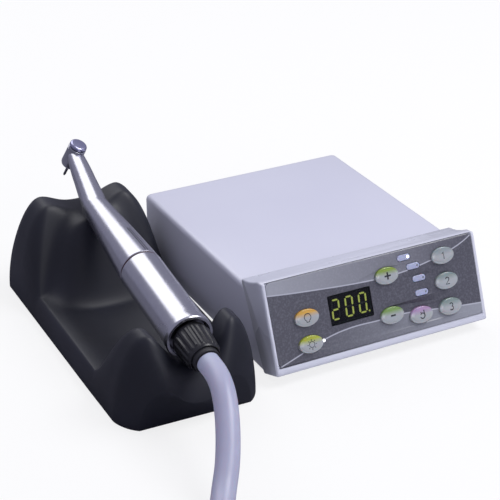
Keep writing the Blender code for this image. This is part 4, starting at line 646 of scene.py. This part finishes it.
def build_cradle():
    """The cradle in close rows, with softened lips where its end faces meet the top."""
    steps, end_steps = 110, 14
    shares = [(i / end_steps) ** 2 for i in range(end_steps)]
    places = [mix(0, END_ROUND, share) for share in shares]
    places += [mix(END_ROUND, CRADLE_LENGTH - BACK_END_ROUND, i / steps) for i in range(steps + 1)]
    places += [CRADLE_LENGTH - mix(0, BACK_END_ROUND, share) for share in reversed(shares)]
    rings = [cradle_outline(y) for y in places]
    matrix = turned_frame(UNIT + CRADLE_PLACE, (0, 0, -CRADLE_TURN))
    data = rings_mesh("cradle_form", rings, matrix)
    finish_piece("cradle_form", data, CRADLE, "control_unit", ("cradle_body",), 60)


# Handpiece

def build_sleeve():
    outline = in_metres([
        (5.3, 64.5), (11.9, 64.5), (12.3, 64.1), (12.3, 10), (12.37, 8.2), (12.6, 6.2),
        (12.87, 4.2), (13.07, 2.4), (13.1, 1.4), (12.95, 0.5), (12.6, 0.05), (11.3, 0.0),
        (11.2, 0.2), (11.2, 61.5), (5.3, 61.5),
    ])
    data = lathe("sleeve_form", outline, MOTOR, 96, closed=True)
    finish_piece("sleeve_form", data, METAL, "handpiece", ("motor_sleeve",), 30)


# Each ring of the nut: height and radius in millimetres, and 1 where it is ribbed
NUT_RINGS = [
    (-0.3, 9.4, 0), (-0.35, 9.8, 0), (-1.0, 9.9, 0), (-2.2, 9.85, 0), (-2.9, 9.8, 1), (-9, 9.5, 1),
    (-16.4, 8.8, 1), (-17.1, 8.7, 0), (-18.3, 8.5, 0), (-18.9, 8.2, 0), (-19, 7.9, 0),
]
NUT_RIBS = 18
NUT_POINTS_PER_RIB = 10
NUT_RIB_RISE = 0.55


def build_nut():
    """Union nut with rounded ribs, and the hose's collar inside it."""
    count = NUT_RIBS * NUT_POINTS_PER_RIB
    rings = []
    for height, radius, ribbed in NUT_RINGS:
        ring = []
        for i in range(count):
            angle = 2 * math.pi * i / count
            wave = smooth_step(0.5 + 1.1 * math.sin(NUT_RIBS * angle)) * NUT_RIB_RISE * ribbed
            reach = (radius + wave) * MM
            ring.append((reach * math.cos(angle), reach * math.sin(angle), height * MM))
        rings.append(ring)
    inner = [circle(7.6 * MM, z * MM, count) for z in (-18.8, -0.4)]
    data = rings_mesh("nut_form", rings + inner, MOTOR, closed=True)
    finish_piece("nut_form", data, NUT_BLACK, "handpiece", ("union_nut",), 28)
    outline = in_metres([(7.2, 2.4), (7.2, -20.8), (6.9, -21.5), (6.2, -21.6), (4.2, -21.6),
                         (4.2, 2.4)])
    data = lathe("collar_form", outline, MOTOR, 48, closed=True)
    finish_piece("collar_form", data, PLASTIC, "handpiece", ("hose_collar",), 30)


def sheath_radius(share):
    """The sheath's radius, for a share of its length from the ring forwards."""
    return mix(SHEATH_RADIUS, BEND_RADIUS, share ** SHEATH_TAPER)


def neck_radius(share):
    if share < 0.5:
        return mix(BEND_RADIUS, NECK_RADIUS, share * 2)
    return mix(NECK_RADIUS, NECK_TIP_RADIUS, (share * 2 - 1) ** NECK_TAPER)


def contra_angle_rings(count=72):
    """Rings along the sheath and neck, with the bend eased over a short stretch."""
    sheath_steps, neck_steps, ease = 34, 30, 9 * MM
    rings = []
    lip = 0.35 * MM
    stations = [(SHEATH_START, 11.7 * MM), (SHEATH_START + lip, 12.05 * MM)]
    for i in range(1, sheath_steps):
        share = i / sheath_steps
        stations.append((mix(SHEATH_START, BEND, share), sheath_radius(share)))
    for i in range(neck_steps + 1):
        share = i / neck_steps
        stations.append((BEND + NECK_LENGTH * share, neck_radius(share)))
    for along, radius in stations:
        bent = smooth_step((along - BEND + ease) / (2 * ease))
        angle = BEND_ANGLE * bent
        past = max(0.0, along - BEND)
        height = min(along, BEND) + past * math.cos(BEND_ANGLE)
        centre = Vector((0, -past * math.sin(BEND_ANGLE), height))
        turn = Matrix.Rotation(angle, 3, "X")
        rings.append([centre + turn @ Vector(point) for point in circle(radius, 0, count)])
    return rings


def build_groove(name, angle):
    """A fine dark line along the sheath, from the ring forwards."""
    first, reach, half, lift, steps = 1.5 * MM, 26 * MM, 0.28 * MM, 0.03 * MM, 12
    rings = []
    for i in range(steps + 1):
        along = first + reach * i / steps
        radius = sheath_radius(along / SHEATH_LENGTH)
        spread = half / radius
        corners = ((-spread, -lift), (-spread, lift), (spread, lift), (spread, -lift))
        ring = [(angle + turn, radius + rise) for turn, rise in corners]
        rings.append([(size * math.sin(turn), -size * math.cos(turn), SHEATH_START + along)
                      for turn, size in ring])
    finish_piece(name, rings_mesh(name, rings, MOTOR), INK, "contra_angle", (), 30)


def build_contra_angle():
    """Sheath and neck in one form, the head, two grooves and the colour ring."""
    data = rings_mesh("contra_angle_form", contra_angle_rings(), SWIVEL)
    finish_piece("contra_angle_form", data, METAL, "contra_angle",
                 ("contra_angle_body",), 35)
    below, above, radius = 9.2, 5.4, 5.35
    outline = in_metres([
        (0, above), (4.9, above), (5.2, above - 0.12), (radius, above - 0.35), (radius, above - 1.2),
        (radius - 0.22, above - 1.3), (radius - 0.22, above - 1.6), (radius, above - 1.7), (radius, 0),
        (radius, -below + 2.6), (radius - 0.2, -below + 1.7), (radius - 0.65, -below + 0.9),
        (radius - 1.4, -below + 0.3), (radius - 2.3, -below), (1.7, -below),
        (1.6, -below + 0.5), (0, -below + 0.6),
    ])
    data = lathe("head_form", outline, HEAD, 72)
    finish_piece("head_form", data, METAL, "contra_angle", (), 32)
    for number, angle in enumerate((15 * DEG, 22 * DEG), 1):
        build_groove(f"sheath_groove_{number}", angle)
    low, high = SLEEVE_LENGTH + FIT, SLEEVE_LENGTH + FIT + RING_LENGTH
    outline = rounded_outline([(RING_BORE, low), (RING_RADIUS, low), (RING_RADIUS, high),
                               (RING_BORE, high)], 0.2 * MM)
    data = lathe("ring_form", outline, SWIVEL, 96, closed=True)
    finish_piece("ring_form", data, MAROON, "contra_angle", ("colour_ring",), 40)


def build_cap():
    low = 5.9
    outline = in_metres([
        (0, low + 2.1), (3.9, low + 2.08), (4.45, low + 1.98), (4.85, low + 1.7), (5.1, low + 1.3),
        (5.2, low + 0.9), (5.2, low + 0.15), (5.05, low), (2.4, low), (2.4, low - 0.3),
        (0, low - 0.3),
    ])
    data = lathe("cap_form", outline, HEAD, 72)
    finish_piece("cap_form", data, CAP_METAL, "push_cap", ("push_cap",), 40)


def build_bur():
    """Bur: a smooth shank and a cutting tip with spiral flutes."""
    flutes, count, tip = 6, 36, 5.2 * MM
    reach, radius, inside = 16.8 * MM, 0.8 * MM, 3.0 * MM
    rings = []
    steps = 26
    for i in range(steps + 1):
        share = i / steps
        height = mix(-reach + 0.02 * MM, -reach + tip, share)
        size = radius * min(1, 0.35 + 1.3 * math.sqrt(share))
        twist = share * 1.6
        ring = []
        for k in range(count):
            angle = 2 * math.pi * k / count
            cut = 0.1 * MM * max(0, math.sin(flutes * (angle + twist))) * (share < 0.93)
            ring.append(((size - cut) * math.cos(angle), (size - cut) * math.sin(angle), height))
        rings.append(ring)
    rings += [circle(radius, -reach + tip + 0.2 * MM, count), circle(radius, inside, count)]
    data = rings_mesh("bur_form", rings, HEAD)
    finish_piece("bur_form", data, DARK_METAL, "bur", ("bur",), 30)


# Keypad

KEY_PLACES = {
    "button_lamp": (-45.1 * MM, 0.1 * MM),
    "button_brightness": (-45.2 * MM, -14.5 * MM),
    "button_plus": (7.4 * MM, 11.4 * MM),
    "button_minus": (6.9 * MM, -10.8 * MM),
    "button_direction": (25.3 * MM, -14.8 * MM),
    "button_memory_1": (44.7 * MM, 14.7 * MM),
    "button_memory_2": (44.7 * MM, 0.3 * MM),
    "button_memory_3": (44.7 * MM, -14.5 * MM),
}
KEY_TINTS = {
    "button_lamp": srgb(206, 160, 70),
    "button_brightness": srgb(168, 176, 60),
    "button_plus": srgb(128, 152, 62),
    "button_minus": srgb(120, 150, 84),
    "button_direction": srgb(168, 140, 176),
    "button_memory_1": srgb(138, 148, 150),
    "button_memory_2": srgb(130, 144, 142),
    "button_memory_3": srgb(126, 142, 138),
}
LAMP_PLACES = {
    "indicator_1": (20.2 * MM, 18.8 * MM),
    "indicator_2": (25.3 * MM, 12.9 * MM),
    "indicator_3": (27.9 * MM, 5.5 * MM),
    "indicator_4": (28.2 * MM, -2.7 * MM),
}
KEY_WIDTH, KEY_HEIGHT = 14.8 * MM, 9.5 * MM
KEY_SIDES = 56
KEY_RISE = 1.9 * MM
# Each ring of a key: how far it lies outside the key's outline and how high, in millimetres
KEY_LEVELS = [
    (1.0, -3.4), (1.0, -2.6), (0, -2.6), (0, 0.95), (-0.08, 1.2), (-0.3, 1.42), (-0.55, 1.5),
    (-0.7, 1.42), (-0.85, 1.44), (-1.3, 1.66), (-2.0, 1.8), (-3.0, 1.88), (-4.4, 1.9),
]
SIGN_DEPTH = 0.06 * MM
SIGN_FLATNESS = 0.35
LAMP_LEVELS = [(0, -2.2), (0, 0.0), (-0.1, 0.16), (-0.3, 0.24), (-0.9, 0.25)]
LAMP_HALF = (8.4 / 2 - 1.55) * MM
LAMP_RADIUS = 1.7                       # in millimetres
LAMP_LEAST_RADIUS = 0.3 * MM
LAMP_SQUASH = 0.91
LAMP_SIDES = 48
LED_SHIFT, LED_RISE = 2.6 * MM, 0.2 * MM
BRIGHTNESS_LED = (-36.9 * MM, -14.5 * MM, 0)


def ellipse(width, height, z, count):
    angles = [2 * math.pi * i / count for i in range(count)]
    return [(width / 2 * math.cos(angle), height / 2 * math.sin(angle), z) for angle in angles]


def build_key(node):
    """An oval cap with a raised rim line and a gently domed crown."""
    x, y = KEY_PLACES[node]
    rings = [ellipse(KEY_WIDTH + 2 * grow * MM, KEY_HEIGHT + 2 * grow * MM, z * MM, KEY_SIDES)
             for grow, z in KEY_LEVELS]
    matrix = PANEL @ Matrix.Translation((x, y, 0))
    finish = key_print(f"{node}_print", KEY_TINTS[node], node)
    data = rings_mesh(f"{node}_cap", rings, matrix)
    finish_piece(f"{node}_cap", data, finish, node, (node,), 50)
    build_symbol(node, matrix)


def arc(radius, start, end, steps=20, centre=(0, 0)):
    return [(centre[0] + radius * math.cos(mix(start, end, i / steps) * DEG),
             centre[1] + radius * math.sin(mix(start, end, i / steps) * DEG)) for i in range(steps + 1)]


def symbol_lines(node):
    """Lines of each key's plain sign and half their width, in millimetres on its crown."""
    if node == "button_plus":
        return [[(-2.0, 0), (2.0, 0)], [(0, -2.0), (0, 2.0)]], 0.55
    if node == "button_minus":
        return [[(-1.5, 0), (1.5, 0)]], 0.55
    if node == "button_lamp":
        foot = [(-0.9, -1.4), (-0.8, -2.2), (0.8, -2.2), (0.9, -1.4)]
        return [arc(2.0, -62, 242, centre=(0, 0.4)), foot], 0.26
    if node == "button_brightness":
        rays = [[(reach * math.cos(turn * DEG), reach * math.sin(turn * DEG)) for reach in (2.1, 2.9)]
                for turn in range(0, 360, 45)]
        return [arc(1.6, 0, 360), *rays], 0.24
    if node == "button_direction":
        return [arc(1.5, 110, -160, centre=(0, -0.5)), [(-1.1, 1.7), (-0.4, 0.95), (-1.2, 0.3)],
                [(1.3, 2.6), (1.3, 0.5)]], 0.34
    if node == "button_memory_1":
        return [[(-0.8, 1.1), (0.2, 1.9), (0.2, -1.9)]], 0.32
    if node == "button_memory_2":
        return [arc(1.1, 160, -30, centre=(0, 0.8)) + [(-1.15, -1.9), (1.25, -1.9)]], 0.32
    return [arc(1.0, 150, -80, centre=(0, 0.95)), arc(1.1, 80, -150, centre=(0, -0.9))], 0.32


def build_symbol(node, matrix):
    """A key's sign in flattened round lines, sunk a little into its crown."""
    lines, half = symbol_lines(node)
    top = KEY_RISE - SIGN_DEPTH
    curve = bpy.data.curves.new(f"{node}_sign", "CURVE")
    curve.dimensions = "3D"
    curve.bevel_depth = half * MM
    curve.bevel_resolution = 2
    curve.use_fill_caps = True
    for points in lines:
        spline = curve.splines.new("POLY")
        spline.points.add(len(points) - 1)
        for point, (x, y) in zip(spline.points, points):
            point.co = (x * MM, y * MM, 0, 1)
    flat = bpy.data.objects.new("flat", curve)
    data = bpy.data.meshes.new_from_object(flat)
    bpy.data.objects.remove(flat)
    flatten = Matrix.Diagonal((1, 1, SIGN_FLATNESS, 1))
    data.transform(matrix @ Matrix.Translation((0, 0, top)) @ flatten)
    finish_piece(f"{node}_sign", data, INK, node, (), 50)


def build_lamps():
    """Long lenses with round ends, a small light in each, and one beside the brightness key."""
    for node, (x, y) in LAMP_PLACES.items():
        rings = []
        for grow, z in LAMP_LEVELS:
            ring = []
            radius = max((LAMP_RADIUS + grow) * MM, LAMP_LEAST_RADIUS)
            for i in range(LAMP_SIDES):
                angle = 2 * math.pi * (i + 0.5) / LAMP_SIDES
                shift = LAMP_HALF if math.cos(angle) > 0 else -LAMP_HALF
                ring.append((shift + radius * LAMP_SQUASH * math.cos(angle),
                             radius * math.sin(angle), z * MM))
            rings.append(ring)
        matrix = PANEL @ Matrix.Translation((x, y, 0))
        data = rings_mesh(f"{node}_lens", rings, matrix)
        finish_piece(f"{node}_lens", data, LENS, "control_unit", (node,), 45)
        lit = node == "indicator_1"
        radius, finish = (0.75 * MM, LED) if lit else (0.5 * MM, UNLIT)
        dome(f"{node}_led", (x + LED_SHIFT, y, LED_RISE), radius, finish)
    dome("brightness_led", BRIGHTNESS_LED, 0.8 * MM, LED)


def dome(name, place, radius, finish):
    outline = [(radius * math.cos(turn * DEG), radius * 0.45 * math.sin(turn * DEG))
               for turn in (90, 70, 50, 30, 10, 0)]
    outline.append((radius, -0.15 * MM))
    data = lathe(name, outline, PANEL @ Matrix.Translation(place), 24)
    finish_piece(name, data, finish, "control_unit")


WINDOW = Vector((-17.2, 0, 0)) * MM
SEGMENTS = {
    "a": ((0, 1), (1, 1)), "b": ((1, 1), (1, 0)), "c": ((1, 0), (1, -1)), "d": ((0, -1), (1, -1)),
    "e": ((0, 0), (0, -1)), "f": ((0, 1), (0, 0)), "g": ((0, 0), (1, 0)),
}
DIGITS = {"2": "abged", "0": "abcdef"}


def build_digits():
    """Three seven-segment digits with a point, their unlit bars showing faintly."""
    width, half_height, pitch, first, lean = 4.2, 5.3, 8.5, -10.9, 0.05
    depth = -1.5 * MM
    for number, digit in enumerate("200"):
        left = first + number * pitch
        for label, ends in SEGMENTS.items():
            lit = label in DIGITS[digit]
            corners = [Vector((left + x * width + lean * y * half_height, y * half_height))
                       for x, y in ends]
            data = bar_mesh(corners, 0.45, 0.4, depth)
            name = f"digit_{number + 1}_{label}"
            finish_piece(name, data, LIT if lit else UNLIT, "control_unit")
    place = first + 2 * pitch + width + 1.3
    point = [Vector((place, -half_height)), Vector((place, -half_height + 0.1))]
    finish_piece("digit_point", bar_mesh(point, 0.6, -0.5, depth), LIT, "control_unit")


def bar_mesh(ends, half, gap, depth):
    """A flat bar between two points, with pointed ends, standing just in front of the display."""
    along = (ends[1] - ends[0]).normalized()
    side = Vector((-along.y, along.x)) * half
    start, end = ends[0] + along * gap, ends[1] - along * gap
    outline = [start, start + along * half + side, end - along * half + side, end,
               end - along * half - side, start + along * half - side]
    rings = [[(p.x * MM, p.y * MM, z) for p in outline]
             for z in (depth - 0.1 * MM, depth + 0.12 * MM)]
    return rings_mesh("bar", rings, PANEL @ Matrix.Translation(WINDOW))


def build_keypad():
    dress("keypad_overlay", panel_print(), "control_unit", 30)
    dress("display_window", GLASS, "control_unit", 30)
    dress("digit_display", DISPLAY, "control_unit", 30)
    build_digits()
    for node in KEY_PLACES:
        build_key(node)
    build_lamps()


# Everything else keeps its CAD shape

def build_rest():
    """Welded, smoothly shaded copies of the other solids in their finishes."""
    finishes = {
        "front_bezel": BEZEL_WHITE, "housing_shell": WHITE, "base_plate": PLASTIC, "rear_panel": PLASTIC,
        "mains_inlet": PLASTIC, "power_switch": PLASTIC, "motor_socket": DARK_METAL,
        "foot_control_jack": DARK_METAL, "main_board": BOARD, "display_board": BOARD,
        "transformer_core": IRON, "transformer_winding": COPPER,
    }
    for number in range(1, 5):
        finishes[f"rubber_foot_{number}"] = RUBBER
        finishes[f"case_screw_{number}"] = DARK_METAL
    for node, finish in finishes.items():
        dress(node, finish, "control_unit")
    dress("power_rocker", PLASTIC, "power_rocker")
    steel = {
        "handpiece": ("motor_nose", "rear_bearing", "front_bearing"),
        "contra_angle": ("drive_bearing", "neck_bearing", "lower_head_bearing",
                         "upper_head_bearing", "cap_spring"),
        "drive_shaft": ("drive_shaft",), "neck_shaft": ("neck_shaft",), "spindle": ("chuck_spindle",),
    }
    for body, nodes in steel.items():
        for node in nodes:
            dress(node, DARK_METAL, body)
    dress("motor_stator", COPPER, "handpiece")
    dress("motor_rotor", IRON, "rotor")


# Stage

TABLE_SIZE = 6.0
TABLE_COLOUR = (0.86, 0.86, 0.87)
TABLE_IN_GLOSS = (0.16, 0.16, 0.2)
TABLE_DROP = 0.05 * MM
WHITE_SHARE = 0.8
WORLD_COLOUR = (0.30, 0.30, 0.40, 1)


def build_floor():
    """A pale table top that shows white, and keeps the object's shadow."""
    shape = bmesh.new()
    bmesh.ops.create_grid(shape, x_segments=1, y_segments=1, size=TABLE_SIZE)
    data = mesh_of(shape, "table")
    floor = bpy.data.objects.new("table", data)
    bpy.context.scene.collection.objects.link(floor)
    floor.location.z = -TABLE_DROP
    shade = Shader("table_white", TABLE_COLOUR, 0.7)
    light_path = shade.nodes.new("ShaderNodeLightPath")
    seen = light_path.outputs["Is Camera Ray"]
    shade.colour(shade.blend(light_path.outputs["Is Glossy Ray"], TABLE_COLOUR, TABLE_IN_GLOSS))
    white = shade.nodes.new("ShaderNodeEmission")
    white.inputs["Strength"].default_value = 1.0
    mixed = shade.nodes.new("ShaderNodeMixShader")
    shade.links.new(shade.maths("MULTIPLY", seen, WHITE_SHARE), mixed.inputs[0])
    shade.links.new(shade.shader.outputs[0], mixed.inputs[1])
    shade.links.new(white.outputs[0], mixed.inputs[2])
    shade.links.new(mixed.outputs[0], shade.nodes["Material Output"].inputs["Surface"])
    data.materials.append(shade.made)


def area_light(name, place, target, size, watts, colour=(1, 1, 1)):
    data = bpy.data.lights.new(name, "AREA")
    data.shape = "DISK"
    data.size = size
    data.energy = watts
    data.color = colour
    lamp = bpy.data.objects.new(name, data)
    lamp.location = place
    lamp.rotation_euler = (Vector(target) - Vector(place)).to_track_quat("-Z", "Y").to_euler()
    bpy.context.scene.collection.objects.link(lamp)


def build_light():
    area_light("key", (0.75, -0.35, 1.25), (0, 0, 0), 0.9, 14)
    area_light("top", (-0.1, 0.95, 1.15), (-0.05, 0, 0), 1.3, 8.5)
    area_light("front", (0.1, -1.5, 0.55), (0.02, 0, 0.03), 0.7, 4, (0.95, 0.95, 1.0))
    world = bpy.data.worlds.new("studio")
    bpy.context.scene.world = world
    world.use_nodes = True
    background = world.node_tree.nodes["Background"]
    background.inputs["Color"].default_value = WORLD_COLOUR
    background.inputs["Strength"].default_value = 1.0


def build_camera():
    data = bpy.data.cameras.new("camera")
    data.lens = CAMERA_LENS
    data.sensor_width = CAMERA_SENSOR
    camera = bpy.data.objects.new("camera", data)
    camera.location = UNIT + CAMERA_OFFSET
    camera.rotation_euler = CAMERA_TURN
    bpy.context.scene.collection.objects.link(camera)
    bpy.context.scene.camera = camera
    bpy.context.scene.view_settings.view_transform = "Standard"


build_camera()
build_hose()
build_cradle()
build_sleeve()
build_nut()
build_contra_angle()
build_cap()
build_bur()
build_keypad()
build_rest()
build_floor()
build_light()
